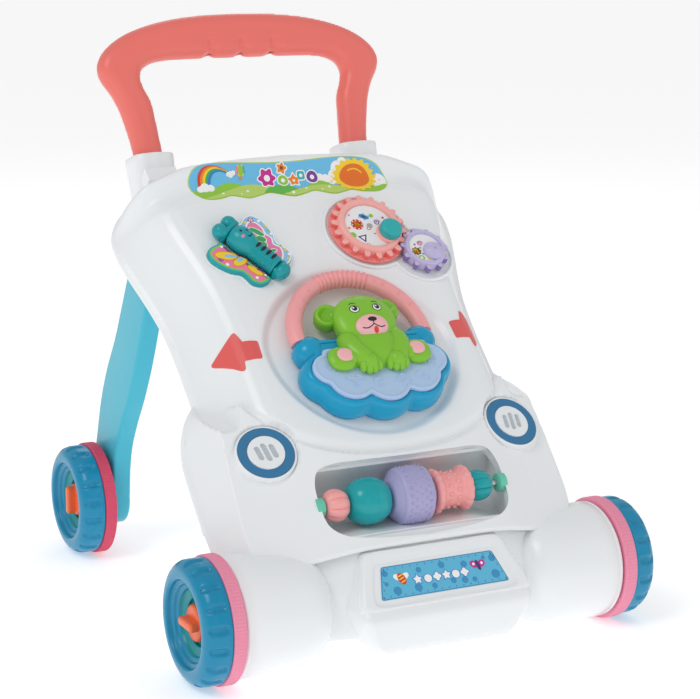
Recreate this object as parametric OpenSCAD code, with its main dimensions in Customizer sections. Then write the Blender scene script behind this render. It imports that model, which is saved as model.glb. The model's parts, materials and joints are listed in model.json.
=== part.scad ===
// Baby push walker: sloping activity panel on four wheels, with a push handle behind it.
// Millimetres. The front of the walker faces -Y, the child walks behind it at +Y.
// The origin is on the floor, in the middle of the walker. "left" is the -X side.

/* [Wheels] */
// Radius of the rubber tread ring that rolls on the floor
wheel_r = 46.8; // [44:0.2:50]
// Distance between the front and rear axles
wheelbase = 336; // [326:1:346]
// Width of the tread ring
tread_w = 10; // [8:0.5:11]
// Whole width of a wheel, tread ring and blue shell together
wheel_w = 30; // [28:0.5:31]
// Inner face of the front tread rings, from the middle of the walker
front_track_x = 155.6; // [155:0.2:158]
// Inner face of the rear tread rings, from the middle of the walker
rear_track_x = 124.2; // [124:0.2:128]
// Radius of the steel axles
axle_r = 3; // [2.8:0.1:3.2]

/* [Panel] */
// Slope of the activity panel from the floor plane, in degrees
panel_tilt = 43.6; // [42:0.2:45]
// Length of the panel along its slope, above the bead window
panel_len = 292; // [286:1:296]
// Slope of the nose below the panel, in degrees
nose_tilt = 51.5; // [50:0.5:53]
// Wall thickness of the moulded casings
wall = 2.6; // [2.2:0.1:3]

/* [Handle] */
// Slope of the push handle from the floor plane, in degrees
handle_tilt = 71.8; // [70:0.2:74]
// Depth of the handle's section
handle_t = 22; // [20:1:24]
// Number of finger grooves under the grip
finger_grooves = 3; // [2:1:4]

/* [Gears] */
// Teeth on the big gear
big_teeth = 18; // [18:1:18]
// Teeth on the small gear
small_teeth = 11; // [11:1:11]
// Distance between the two gear pins
gear_centres = 47.4; // [47.2:0.1:47.8]
// Play between meshing teeth
gear_play = 1; // [0.9:0.1:1.2]

/* [Beads] */
// Radius of the bead bar
bead_bar_r = 2.5; // [2.3:0.1:2.7]
// Half length of the bead bar
bead_bar_x = 79; // [78:0.5:80]

/* [Bear toy] */
// Height of the blue cloud base
cloud_h = 17; // [16:0.5:18]

/* [Hidden] */
$fn = 64;
fit = 0.05;              // running clearance on a radius
gap = 0.35;              // clearance between pieces that move past each other
bumper_y = 56;           // how far the plate box stands out in front of the front axle
front_y = -(wheelbase + wheel_r - bumper_y) / 2;   // front axle, so that the origin is in the middle
rear_y = front_y + wheelbase;
panel_y = front_y + 20;  // the line where the panel and the nose meet
panel_z = 141.9;
panel_top = 4;           // height of the panel's flat middle over its frame plane
body_d = 42;             // depth of the panel casing below its frame plane
dish = [0, 97];          // middle of the round dish under the bear toy
dish_r = 75;
dish_depth = 5;
big_c = [44, 203.5];     // big gear pin on the panel
mesh_dir = -33.4;        // direction from the big gear to the small one
small_c = [big_c[0] + gear_centres * cos(mesh_dir), big_c[1] + gear_centres * sin(mesh_dir)];
module_mm = 2 * gear_centres / (big_teeth + small_teeth);
cloud_w = panel_top - 5 + gap;           // underside of the toy over the panel's frame plane
toy_top = cloud_w + 2.4 + cloud_h + 3;   // top of the cloud plate
foot_c = [30, 75];       // middle of the right foot button
fly_c = [-60, 190];      // butterfly's middle on the panel, and its turn
fly_turn = 35.7;
fly_axis_w = 11;
bead_y = front_y + 7.3;  // bead bar
bead_z = 115.3;
lamp_x = 102.6;          // headlights on the panel
lamp_v = 19.5;
lamp_w = -7.5;
lamp_tilt = 6;           // the headlights lean outwards
lamp_r = 23;
axle_end = 21;           // end of an axle past the tread ring's inner face
chin_x = 87;             // half width of the nose between the wheel housings
leg_x = [104, 120];      // inner and outer faces of a rear leg
cover_x = 134.5;         // half width of the back cover, inside the casing's wall
handle_y = front_y + 283.6;
handle_z = 340.5;
handle_leg_x = 92;
screw_r = 1.4;

// ---- frames ----

// Panel frame: X across, Y up the slope, Z out of the panel
module on_panel(at = [0, 0, 0])
    translate([0, panel_y, panel_z]) rotate([panel_tilt, 0, 0]) translate(at) children();

// Nose frame: the same, on the steeper slope below the panel
module on_nose(at = [0, 0, 0])
    translate([0, panel_y, panel_z]) rotate([nose_tilt, 0, 0]) translate(at) children();

// Handle frame: X across, Y up the handle from the top of its sockets, Z out to the front
module on_handle(at = [0, 0, 0])
    translate([0, handle_y, handle_z]) rotate([handle_tilt, 0, 0]) translate(at) children();

// Wheel frame: Z outboard along the axle from the tread ring's inner face
module at_wheel(side, axle_y, x)
    translate([side * x, axle_y, wheel_r]) rotate([0, side * 90, 0]) children();

// Headlight frame: Z out of the headlight, from its seat on the casing
module on_lamp(side)
    on_panel([side * lamp_x, lamp_v, lamp_w]) rotate([0, side * lamp_tilt, 0]) children();

module both_sides() {
    children();
    mirror([1, 0, 0]) children();
}

// Extrudes a side outline, drawn as (y, z), across the walker
module across(half_w)
    rotate([90, 0, 90]) translate([0, 0, -half_w]) linear_extrude(2 * half_w) children();

// Closed outline from its right half, listed from the top middle to the bottom middle
function mirrored(half) = concat(half, [for (i = [len(half) - 1 : -1 : 0]) [-half[i][0], half[i][1]]]);
function arc(c, r, a0, a1, n) = [for (i = [0 : n]) c + r * [cos(a0 + (a1 - a0)
    * i / n), sin(a0 + (a1 - a0) * i / n)]];

// ---- panel casing ----

// Section of the panel casing across the walker, as (x, height)
module dome_section(t) {
    polygon(mirrored([
        [0, panel_top - t], [80 - t, panel_top - t], [92 - t, 2.5 - t], [101 - t, -1 - t],
        [110 - t, -7.5 - t],
        [118 - t, -16 - t], [128 - t, -27 - t], [140 - t, -body_d], [150 - t, -body_d - 12],
        [0, -body_d - 12]
    ]));
}

// Section of the nose across the walker: a shallow arch with a crisp edge, then steep flanks
module nose_section(t) {
    polygon(mirrored([
        [0, panel_top - t], [50, 3 - t], [66 - t, 1 - t], [78 - t, -2 - t], [90 - t, -5.6 - t],
        [104 - t, -9 - t],
        [118 - t, -12 - t], [130 - t, -14 - t], [134 - t, -23 - t], [139 - t, -35], [147 - t, -50],
        [147 - t, -70],
        [0, -70]
    ]));
}

// Outline of the panel casing seen square on, as (x, distance up the slope)
module panel_outline(t) {
    polygon(mirrored([
        [0, panel_len - t], [70, panel_len - 4 - t], [118 - t, 279 - t], [139 - t, 262 - t], [146 - t, 244],
        [143 - t, 216], [136 - t, 186], [131 - t, 156], [129 - t, 120], [129 - t, 84], [138 - t, 60],
        [146 - t, 40], [149 - t, 0], [0, 0]
    ]));
}

module panel_solid(t, depth) {
    intersection() {
        translate([0, panel_len, 0]) rotate([90, 0, 0]) linear_extrude(panel_len) dome_section(t);
        translate([0, 0, -depth]) linear_extrude(depth + 20) panel_outline(t);
    }
}

// Side outline of the nose below the panel, as (y, z)
module nose_side(t) {
    polygon([
        [panel_y + 2, panel_z + 30], [front_y - 60, 90], [front_y - 27 + t, 80], [front_y - 27 + t, 24 - t],
        [front_y + 34 - t, 24 - t], [front_y + 40 - t, 60], [front_y + 92 - t, 153], [panel_y + 2, 190]
    ]);
}

// Nose of the casing: a rounded slope that is wide above the wheel housings and narrow between them
module nose_solid(t) {
    difference() {
        intersection() {
            across(170) nose_side(t);
            union() {
                intersection() {
                    on_nose([0, 2, 0]) rotate([90, 0, 0]) linear_extrude(110) nose_section(t);
                    translate([-200, -400, 84]) cube([400, 800, 200]);
                }
                translate([-chin_x + t, front_y - 27 + t, 10]) cube([2 * (chin_x - t), 100, 76]);
            }
            on_nose([-200, -200, -200]) cube([400, 400, 200 + panel_top - t]);
        }
        both_sides() translate([chin_x - t, front_y, wheel_r]) rotate([0, 90, 0])
            cylinder(r = 45.2 + t, h = 80);
    }
}

// Mouth of the bead window on the nose, as (x, distance up the slope)
module window_outline() {
    polygon(mirrored([
        [0, -1], [62, -1], [71, -3], [75.5, -12], [76.5, -30], [74, -46], [64, -56], [40, -62], [0, -65]
    ]));
}

module front_shell() {
    color("whitesmoke") difference() {
        union() {
            on_panel() difference() {
                panel_solid(0, body_d);
                translate([0, -1, 0]) panel_solid(wall, body_d + 20);
                translate([-146, -20, -body_d - 20]) cube([292, 24, body_d + 20 + panel_top - wall]);
            }
            difference() {
                nose_solid(0);
                nose_solid(wall);
                on_panel([0, -1, 0]) panel_solid(wall, body_d + 20);
            }
            // floor of the round dish and its wall
            on_panel([dish[0], dish[1], panel_top - dish_depth - wall])
                cylinder(r = dish_r + 1, h = dish_depth);
            // low rims round the gears
            on_panel([big_c[0], big_c[1], 0]) cylinder(r = 36.4, h = panel_top + 2.5);
            on_panel([small_c[0], small_c[1], -1]) cylinder(r = 26.6, h = panel_top + 3.5);
            // pocket under the butterfly's roller
            on_panel([fly_c[0], fly_c[1], panel_top - 11]) rotate([0, 0, fly_turn]) translate([-15, -26.4, 0])
                cube([30, 52, 10]);
            // bosses for the headlights
            both_sides() on_lamp(1) translate([0, 0, -12]) cylinder(r = lamp_r, h = 12);
        }
        on_panel([dish[0], dish[1], panel_top - dish_depth]) cylinder(r = dish_r, h = 12);
        on_panel([big_c[0], big_c[1], panel_top]) cylinder(r = 34.4, h = 4);
        on_panel([small_c[0], small_c[1], panel_top]) cylinder(r = 24.6, h = 4);
        on_panel([big_c[0], big_c[1], -10]) cylinder(r = 2.55, h = 20);
        on_panel([small_c[0], small_c[1], -10]) cylinder(r = 2.55, h = 20);
        on_panel([fly_c[0], fly_c[1], panel_top - 9]) rotate([0, 0, fly_turn]) translate([-13, -24.4, 0])
            cube([26, 48, 12]);
        on_nose([0, 0, -30]) linear_extrude(50) window_outline();
        tray_body(gap);
        both_sides() on_lamp(1) translate([0, 0, -14 - wall]) cylinder(r = lamp_r - wall, h = 14);
        both_sides() on_lamp(1) cylinder(r = lamp_r + gap, h = 12);
        translate([-100, front_y, wheel_r]) rotate([0, 90, 0]) cylinder(r = axle_r + 1, h = 200);
    }
}

// Plate that closes the back of the nose, as (y, z)
module nose_back() {
    polygon([[front_y + 92.4, 153], [front_y + 40.4, 60], [front_y + 34.8, 26], [front_y + 37.4, 26],
        [front_y + 43, 59.4], [front_y + 94.8, 151.6]]);
}

module back_cover() {
    color("whitesmoke") difference() {
        union() {
            on_panel([0, 0, -body_d]) intersection() {
                linear_extrude(wall) panel_outline(wall + gap + 1);
                translate([-cover_x, 58, -1]) cube([2 * cover_x, 300, 20]);
            }
            difference() {
                union() {
                    intersection() {
                        across(144) nose_back();
                        translate([-200, -400, 90]) cube([400, 800, 100]);
                    }
                    across(88) nose_back();
                }
                both_sides() translate([80, front_y, wheel_r]) rotate([0, 90, 0]) cylinder(r = 48, h = 80);
            }
            both_sides() on_handle([handle_leg_x, -46, 0]) rotate([-90, 0, 0]) cylinder(r = 17, h = 46);
            both_sides() on_panel([76, 262, -66]) cube([27.4, 34, 66 - body_d + 1]);
            both_sides() on_panel([80, panel_len + 0.4, -50]) cube([26, 12, 26]);
        }
        both_sides() on_handle([handle_leg_x - 12.4, -34, -11.2]) cube([24.8, 60, 22.4]);
        on_panel() intersection() {
            panel_solid(-0.4, body_d - wall - gap);
            translate([-200, 50, -80]) cube([400, 400, 200]);
        }
        // room for the casing's own rim
        on_panel([0, 0, -body_d - 0.1]) difference() {
            linear_extrude(6) panel_outline(-0.4);
            translate([0, 0, -1]) linear_extrude(8) panel_outline(wall + gap + 1);
            translate([-200, -200, -1]) cube([400, 258, 8]);
        }
        shell_screw_places() translate([0, 0, -1]) cylinder(r = screw_r + fit, h = 6);
        leg_screw_places() translate([0, 0, -6]) cylinder(r = screw_r + fit, h = 10);
    }
}

// Bell-shaped housing over the front axle, beside a wheel, with a tube that guides the axle
module wheel_housing(side) {
    color("whitesmoke") translate([0, front_y, wheel_r]) rotate([0, side * 90, 0]) rotate_extrude() polygon([
        [axle_r + 0.4, 87.6], [16, 87.6], [24, 88.4], [30.5, 90.4], [35.5, 94], [39.4, 99.4], [42, 107],
        [43.4, 116], [44, 128], [44.2, 150.6], [43, 154], [38, 154.6], [axle_r + 0.4, 154.6],
        [axle_r + 0.4, 120],
        [10, 120], [10, 152], [40.6, 152], [41.4, 128], [40.8, 116], [39.4, 107], [37, 101], [33.5, 97],
        [29, 93.4], [23, 91.2], [16, 90.2], [axle_r + 0.4, 90.2]
    ]);
}

// Seen from the front, as (x, z)
module plate_box_front(t) {
    rotate([90, 0, 0]) linear_extrude(200, center = true) polygon(mirrored([
        [0, 88 - t], [54 - t, 88 - t], [57 - t, 84], [68.4 - t, 51], [68.4 - t, 46], [62 - t, 30],
        [50 - t, 18 + t], [0, 17 + t]
    ]));
}

// Hollow box under the bead window that carries the label
module plate_box() {
    color("whitesmoke") difference() {
        intersection() {
            across(80) polygon([
                [front_y - 23.6, 88], [front_y - 24.6, 87], [front_y - 52, 52.8], [front_y - bumper_y, 47],
                [front_y - bumper_y, 42], [front_y - 51, 24], [front_y - 47, 17], [front_y - 27.4, 17],
                [front_y - 27.4, 83]
            ]);
            translate([0, front_y, 0]) plate_box_front(0);
        }
        intersection() {
            across(80) polygon([
                [front_y - 26.6, 80], [front_y - 49.6, 52], [front_y - 53.4, 46], [front_y - 48.6, 25],
                [front_y - 45.4, 19.6], [front_y - 20, 19.6], [front_y - 20, 80]
            ]);
            translate([0, front_y, 0]) plate_box_front(2.4);
        }
        nose_solid(-gap);
        on_plate([0, 0, -1]) linear_extrude(4) plate_outline(0.4);
    }
}

// Plate frame: X across, Y up the box's sloping face from its top edge, Z out of it
module on_plate(at = [0, 0, 0])
    translate([0, front_y - 24.6, 87]) rotate([51.3, 0, 0]) translate(at) children();

module plate_outline(grow) {
    polygon(mirrored([
        [0, -11.6 + grow], [45 + grow, -11.6 + grow], [46.6 + grow, -13], [53 + grow, -35],
        [51.4 + grow, -37 - grow], [0, -37 - grow]
    ]));
}

module plate_label() {
    color("lightskyblue") on_plate([0, 0, -1]) linear_extrude(0.6) plate_outline(0);
}

module top_label() {
    color("lightskyblue") on_panel([0, 0, panel_top]) linear_extrude(0.6) polygon(mirrored([
        [0, 285], [62, 284], [76, 281], [84, 273], [85, 262], [80, 254], [70, 249.5], [56, 249], [40, 252],
        [24, 252], [10, 249.5], [0, 249.5]
    ]));
}

// ---- bead window ----

// Trough behind the window, larger by grow, open towards the nose
module tray_body(grow) {
    translate([0, bead_y, bead_z]) difference() {
        rotate([0, 90, 0]) cylinder(r = 29 + grow, h = 2 * (bead_bar_x + 2.8 + grow), center = true);
        rotate([nose_tilt, 0, 0]) translate([-100, -60, 3 + grow]) cube([200, 120, 60]);
    }
}

module bead_tray() {
    color("whitesmoke") difference() {
        tray_body(0);
        translate([0, bead_y, bead_z]) rotate([0, 90, 0]) {
            cylinder(r = 26.4, h = 2 * bead_bar_x, center = true);
            cylinder(r = bead_bar_r, h = 300, center = true);
        }
    }
}

module bead_bar() {
    color("silver") translate([0, bead_y, bead_z]) rotate([0, 90, 0])
        cylinder(r = bead_bar_r, h = 2 * bead_bar_x + 5, center = true);
}

// Collars that keep the row of beads off the tray's ends
module bead_collars() {
    color("aquamarine") translate([0, bead_y, bead_z]) for (side = [-1, 1])
        translate([side * 74, 0, 0]) rotate([0, 90, 0]) difference() {
            cylinder(r = 5, h = 4, center = true);
            cylinder(r = bead_bar_r, h = 10, center = true);
        }
}

// A bead turned round the bar from its half section, listed from one end to the other as (x, r)
module bead(x, half) {
    translate([x, bead_y, bead_z]) rotate([0, 90, 0]) rotate_extrude()
        polygon(concat([for (p = half) [p[1], p[0]]],
            [[bead_bar_r + fit, half[len(half) - 1][0]], [bead_bar_r + fit, half[0][0]]]));
}

function round_bead(half_l, r, n) =
    [for (i = [0 : n]) [-half_l * cos(180 * i / n), 4.5 + (r - 4.5) * sin(180 * i / n)]];

module pink_pumpkin_bead() color("pink") bead(-62.3, round_bead(9, 12, 12));
module teal_ball_bead() color("lightseagreen") bead(-36.2, round_bead(16.5, 17.5, 20));
module barrel_bead() color("plum")
    bead(-2, [[-17, 13], [-16, 16], [-13, 17.5], [-11.5, 20.5], [-5, 21.6], [5, 21.6], [11.5, 20.5],
        [13, 17.5],
        [16, 16], [17, 13]]);
module spool_bead() color("pink")
    bead(30.6, [[-15, 14], [-13.5, 16.5], [-10, 16.5], [-8.5, 13], [8.5, 13], [10, 16.5], [13.5, 16.5],
        [15, 14]]);
module teal_pumpkin_bead() color("lightseagreen") bead(56, round_bead(9.6, 11.6, 12));

// ---- headlights and arrows ----

module headlight(side) {
    color("whitesmoke") on_lamp(side) difference() {
        union() {
            cylinder(r = lamp_r, h = 3.4);
            cylinder(r = 12.6, h = 4.6);
        }
        translate([0, 0, 2.6]) difference() {
            cylinder(r = 21.4, h = 4);
            translate([0, 0, -1]) cylinder(r = 14, h = 7);
        }
        for (i = [-1, 0, 1]) translate([i * 6.5, 0, 3.4]) rotate([0, 0, -side * 8]) linear_extrude(4) {
            square([2.8, 12 - 3 * abs(i)], center = true);
        }
    }
}

module headlight_ring(side) {
    color("steelblue") on_lamp(side) translate([0, 0, 2.6]) difference() {
        cylinder(r = 21.2, h = 1.2);
        translate([0, 0, -1]) cylinder(r = 14.2, h = 5);
    }
}

// Arrow inlay that follows the rounded side of the panel
module arrow(side) {
    color("salmon") on_panel() intersection() {
        difference() {
            translate([0, panel_len, 0]) rotate([90, 0, 0]) linear_extrude(panel_len) dome_section(-0.6);
            translate([0, panel_len + 1, 0]) rotate([90, 0, 0]) linear_extrude(panel_len + 2) dome_section(0);
        }
        translate([0, 0, -30]) linear_extrude(50) polygon([for (p = [
            [80.5, 111.5], [97.5, 112.5], [97.5, 122], [116, 104.5], [97.5, 87.5], [97.5, 97], [80.5, 96]
        ]) [side * p[0], p[1]]]);
    }
}

// ---- gears ----

function involute(r, rb) = r > rb ? (tan(acos(rb / r)) * 180 / PI - acos(rb / r)) : 0;

// Outline of a spur gear with one tooth pointing along +X
module gear_outline(teeth, outer, root) {
    r = module_mm * teeth / 2;
    rb = r * cos(22);
    half = 90 / teeth - gear_play / r * 90 / PI / 2 + involute(r, rb);
    up = [for (i = [0 : 5]) root + (outer - root) * i / 5];
    down = [for (i = [5 : -1 : 0]) up[i]];
    polygon([for (k = [0 : teeth - 1]) let (mid = k * 360 / teeth) each concat(
        [for (s = up) s * [cos(mid - half + involute(s, rb)), sin(mid - half + involute(s, rb))]],
        [for (s = down) s * [cos(mid + half - involute(s, rb)), sin(mid + half - involute(s, rb))]]
    )]);
}

module gear_tray() {
    color("silver") on_panel([0, 0, panel_top]) difference() {
        union() {
            translate([big_c[0], big_c[1], 0]) cylinder(r = 34.2, h = 1);
            translate([small_c[0], small_c[1], 0]) cylinder(r = 24.4, h = 1);
        }
        translate([big_c[0], big_c[1], -1]) cylinder(r = 2.55, h = 4);
        translate([small_c[0], small_c[1], -1]) cylinder(r = 2.55, h = 4);
    }
}

module gear_pins() {
    color("silver") on_panel() for (c = [big_c, small_c]) translate([c[0], c[1], -4]) {
        cylinder(r = 2.5, h = 16.6);
        translate([0, 0, -1.4]) cylinder(r = 5, h = 1.6);
    }
}

module big_gear() {
    color("lightpink") on_panel([big_c[0], big_c[1], panel_top]) difference() {
        rotate([0, 0, mesh_dir]) union() {
            translate([0, 0, 1.4]) cylinder(r = 32.6, h = 1.8);
            translate([0, 0, 1.4]) linear_extrude(7.4) gear_outline(big_teeth, 31.6, 25.6);
            translate([0, 0, 8.6]) difference() {
                cylinder(r = 25.4, h = 2.6);
                translate([0, 0, 1]) cylinder(r = 21, h = 2.6);
            }
        }
        translate([0, 0, -1]) cylinder(r = 2.5 + fit, h = 30);
        translate([0, 0, 2.6]) big_knob_place() cylinder(r = 2.5 + fit, h = 20);
    }
}

module big_knob_place() translate([13.4, -9, 0]) children();

module big_gear_knob() {
    color("lightseagreen") on_panel([big_c[0], big_c[1], panel_top]) big_knob_place() {
        translate([0, 0, 3]) cylinder(r = 2.5, h = 9);
        translate([0, 0, 11.5]) cylinder(r1 = 9, r2 = 8.6, h = 5.4);
        translate([0, 0, 16.9]) cylinder(r1 = 8.6, r2 = 6.4, h = 1.6);
    }
}

module small_gear() {
    color("thistle") on_panel([small_c[0], small_c[1], panel_top]) difference() {
        union() {
            translate([0, 0, 3.6]) linear_extrude(5.6) rotate([0, 0, mesh_dir + 180 + 180 / small_teeth])
                gear_outline(small_teeth, 20.4, 14.2);
            translate([0, 0, 1.4]) cylinder(r = 13.8, h = 3);
            translate([0, 0, 9]) difference() {
                cylinder(r = 17.2, h = 1.8);
                translate([0, 0, 0.8]) cylinder(r = 15.4, h = 2.2);
            }
            translate([5.4, -4.4, 9]) cylinder(r = 8, h = 3);
            translate([5.4, -4.4, 12]) cylinder(r1 = 8, r2 = 5.4, h = 2);
        }
        translate([0, 0, -1]) cylinder(r = 2.5 + fit, h = 10.6);
    }
}

// ---- butterfly ----

module on_fly(at = [0, 0, 0])
    on_panel([fly_c[0], fly_c[1], panel_top]) rotate([0, 0, fly_turn]) translate(at) children();

module wing_outline() {
    translate([18, 11]) circle(r = 13);
    translate([23, 9]) circle(r = 13);
    translate([14, -9]) circle(r = 12);
    translate([19, -12]) circle(r = 11);
    translate([0, -18]) square([18, 36]);
}

module butterfly_base() {
    w0 = fly_axis_w - panel_top;
    color("teal") on_fly() difference() {
        union() {
            both_sides() linear_extrude(4) wing_outline();
            translate([-12.6, -24, -8]) cube([25.2, 47.2, 12]);
            translate([-6, 21.8, 0]) cube([12, 5.2, w0 + 3]);
            translate([-6, -28.6, 0]) cube([12, 5.6, w0 + 2]);
            both_sides() translate([5.5, 29.5, w0]) sphere(r = 5.6);
            translate([0, -28.6, w0]) sphere(r = 6);
        }
        translate([-11.4, -22.8, -6.8]) cube([22.8, 44.6, 30]);
        translate([0, 30, w0]) rotate([90, 0, 0]) cylinder(r = 1.6 + fit, h = 60);
    }
}

module butterfly_roller() {
    color("teal") on_fly([0, 0, fly_axis_w - panel_top]) rotate([90, 0, 0]) {
        translate([0, 0, -24]) cylinder(r = 1.6, h = 49);
        rotate_extrude() polygon([
            [0, -21.2], [7, -21.2], [9.6, -18], [10.4, -13], [10, -7], [8.4, -3], [7.6, 1], [7.6, 21.4],
            [6.6, 22.2], [0, 22.2]
        ]);
    }
}

// ---- push handle ----

module handle() {
    color("salmon") on_handle([0, 0, -handle_t / 2]) difference() {
        linear_extrude(handle_t) polygon(mirrored([
            [0, 116], [30, 115], [60, 112], [84, 107], [102, 100], [115, 92], [123, 83], [126, 73],
            [123.6, 64],
            [117, 54], [112, 43], [108.6, 26], [105, 6], [104, -6], [103.6, -33], [80.4, -33], [80.4, -6],
            [81.4, 8], [83, 26], [84.6, 44], [89, 55], [91.6, 63], [90, 70], [84, 75], [72, 78],
            [50, 79], [0, 79]
        ]));
        for (i = [0 : finger_grooves - 1]) translate([(i - (finger_grooves - 1) / 2) * 28, 78.4, -1])
            cylinder(r = 5, h = handle_t + 2);
    }
}

// ---- rear legs ----

module leg(side) {
    color("skyblue") difference() {
        translate([side * (leg_x[0] + leg_x[1]) / 2, 0, 0]) across((leg_x[1] - leg_x[0]) / 2) polygon(concat([
            [rear_y + 24.4, wheel_r + 8], [rear_y + 14, 91], [rear_y, 131], [rear_y - 36, 187],
            [rear_y - 68, 246],
            [rear_y - 90, 286], [rear_y - 140, 286], [rear_y - 111, 232], [rear_y - 98, 203],
            [rear_y - 64, 142],
            [rear_y - 33, 101], [rear_y - 24.6, wheel_r + 5]
        ], arc([rear_y, wheel_r], 24, 175, 375, 24)));
        on_panel([-200, 0, -body_d - gap]) cube([400, 400, 200]);
        translate([side * (leg_x[0] - 5), rear_y, wheel_r]) rotate([0, side * 90, 0])
            cylinder(r = axle_r, h = 40);
        both_sides() on_handle([handle_leg_x, -50, 0]) rotate([-90, 0, 0]) cylinder(r = 17 + gap, h = 50);
        both_sides() on_panel([70, 262, -66 - gap]) cube([34, 34, 30]);
        leg_screw_places() translate([0, 0, -14]) cylinder(r = screw_r, h = 14);
    }
}

// ---- wheels and axles ----

module wheel() {
    color("steelblue") rotate_extrude() polygon(concat(
        [[axle_r + fit, 0.6], [8, 0.6], [8, 13], [21, 13], [27, 22], [34, 24], [39.6, 18], [39.6, 0.6],
            [42.4, 0.6], [42.4, tread_w], [45.4, tread_w]],
        arc([35.4, wheel_w - 10.6], 10, 0, 90, 8), arc([33, wheel_w - 4.6], 4, 90, 180, 4),
        [[25.6, 22], [17, 19], [17, 16], [axle_r + fit, 16]]
    ));
}

module tread() {
    color("hotpink") difference() {
        cylinder(r = wheel_r, h = tread_w - 0.2);
        translate([0, 0, -1]) cylinder(r = 42.4, h = 20);
    }
}

// Turn knob on the wheel's outer face
module knob() {
    color("coral") difference() {
        union() {
            translate([0, 0, 16.4]) cylinder(r = 13.5, h = 4.6);
            translate([0, 0, 21]) cylinder(r1 = 13.5, r2 = 11, h = 1.6);
            translate([-12, -3.4, 20]) cube([24, 6.8, 8.6]);
        }
        translate([0, 0, 16]) cylinder(r = 8, h = 2.4);
        translate([0, 0, 16]) cylinder(r = axle_r + fit, h = 6);
    }
}

module front_left() at_wheel(-1, front_y, front_track_x) children();
module front_right() at_wheel(1, front_y, front_track_x) children();
module rear_left() at_wheel(-1, rear_y, rear_track_x) children();
module rear_right() at_wheel(1, rear_y, rear_track_x) children();

module front_axle() {
    color("silver") translate([0, front_y, wheel_r]) rotate([0, 90, 0])
        cylinder(r = axle_r, h = 2 * (front_track_x + axle_end), center = true);
}

module rear_axles() {
    color("silver") for (side = [-1, 1]) translate([side * (leg_x[0] + 1), rear_y, wheel_r])
        rotate([0, side * 90, 0]) cylinder(r = axle_r, h = rear_track_x + axle_end - leg_x[0] - 1);
}

module washer() {
    translate([0, 0, 16.6]) difference() {
        cylinder(r = 6.6, h = 1.2);
        translate([0, 0, -1]) cylinder(r = axle_r, h = 4);
    }
}

module axle_washers() {
    color("silver") {
        front_left() washer();
        front_right() washer();
        rear_left() washer();
        rear_right() washer();
    }
}

// ---- fasteners ----

// Places of the screws, with Z along each screw from under its head
module shell_screw_places()
    on_panel([0, 0, -body_d]) for (p = [[121, 100], [126, 180], [129, 240], [60, 278]])
        both_sides() translate([p[0], p[1], 0]) children();

module leg_screw_places()
    on_panel([0, 0, -body_d + wall]) for (v = [216, 236]) both_sides() translate([112, v, 0]) children();

module screw(l) {
    cylinder(r = screw_r, h = l);
    translate([0, 0, -1.4]) cylinder(r = 3, h = 1.4);
}

module shell_screws() {
    color("silver") shell_screw_places() screw(4);
}

module leg_screws() {
    color("silver") leg_screw_places() rotate([180, 0, 0]) screw(12);
}

// ---- bear toy on its cloud ----

module cloud_outline(grow) {
    for (c = [[-44.5, 70, 11], [-30, 58, 16], [-11, 55, 16], [11, 55, 16], [30, 58, 16], [44.5, 70, 11]])
        translate([c[0], c[1]]) circle(r = c[2] + grow);
    translate([-45 - grow, 60]) square([90 + 2 * grow, 34 + grow]);
    for (side = [-1, 1]) translate([side * 46, 98]) circle(r = 9 + grow * 0.3);
}

module cloud_base() {
    color("deepskyblue") on_panel([0, 0, cloud_w + 2.4]) difference() {
        linear_extrude(cloud_h) cloud_outline(7);
        translate([0, 0, -1]) linear_extrude(cloud_h - 1.2) cloud_outline(4.6);
        translate([0, 0, cloud_h - 5]) both_sides() translate([foot_c[0], foot_c[1], 0])
            cylinder(r = 4.4, h = 30);
        translate([0, 104, 8]) ring_path(6.6);
    }
}

module toy_back() {
    color("deepskyblue") on_panel([0, 0, cloud_w]) difference() {
        linear_extrude(2.2) cloud_outline(6.6);
        translate([-27, 52, -1]) cube([54, 30, 10]);
    }
}

module battery_door() {
    color("deepskyblue") on_panel([-26.7, 52.3, cloud_w]) cube([53.4, 29.4, 2]);
}

module toy_batteries() {
    color("gold") on_panel([0, 0, cloud_w + 2.8 + 5.25]) for (v = [57.8, 69, 80.2]) translate([-22.2, v, 0])
        rotate([0, 90, 0]) cylinder(r = 5.25, h = 44.4);
}

module toy_speaker() {
    color("dimgray") on_panel([-33, 87, cloud_w + 4.6]) {
        cylinder(r = 6.6, h = 3);
        translate([0, 0, 2.9]) cylinder(r = 9, h = 2);
    }
}

module toy_board() {
    color("seagreen") on_panel([12, 88, cloud_w + 6]) cube([28, 7.4, 1.6]);
}

module cloud_plate() {
    color("lightsteelblue") on_panel([0, 0, cloud_w + 2.4 + cloud_h]) difference() {
        linear_extrude(3) intersection() {
            cloud_outline(0);
            translate([-80, 20]) square([160, 66]);
        }
        both_sides() translate([foot_c[0], foot_c[1], -1]) cylinder(r = 4.4, h = 30);
    }
}

// Arch of the ring handle, cut to the given section radius
module ring_path(r) {
    rotate_extrude(angle = 180) translate([52.7, 0]) circle(r = r);
}

module ring_handle() {
    color("pink") on_panel([0, 104, cloud_w + 2.4 + 8]) difference() {
        ring_path(6.6);
        translate([-80, -20, -20]) cube([160, 20.4, 40]);
    }
}

module bear_head(grow) translate([0, 104.5, 11]) sphere(r = 24.5 + grow);

module bear_belly(grow) translate([0, 80, toy_top - 9]) sphere(r = 20 + grow);

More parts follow.
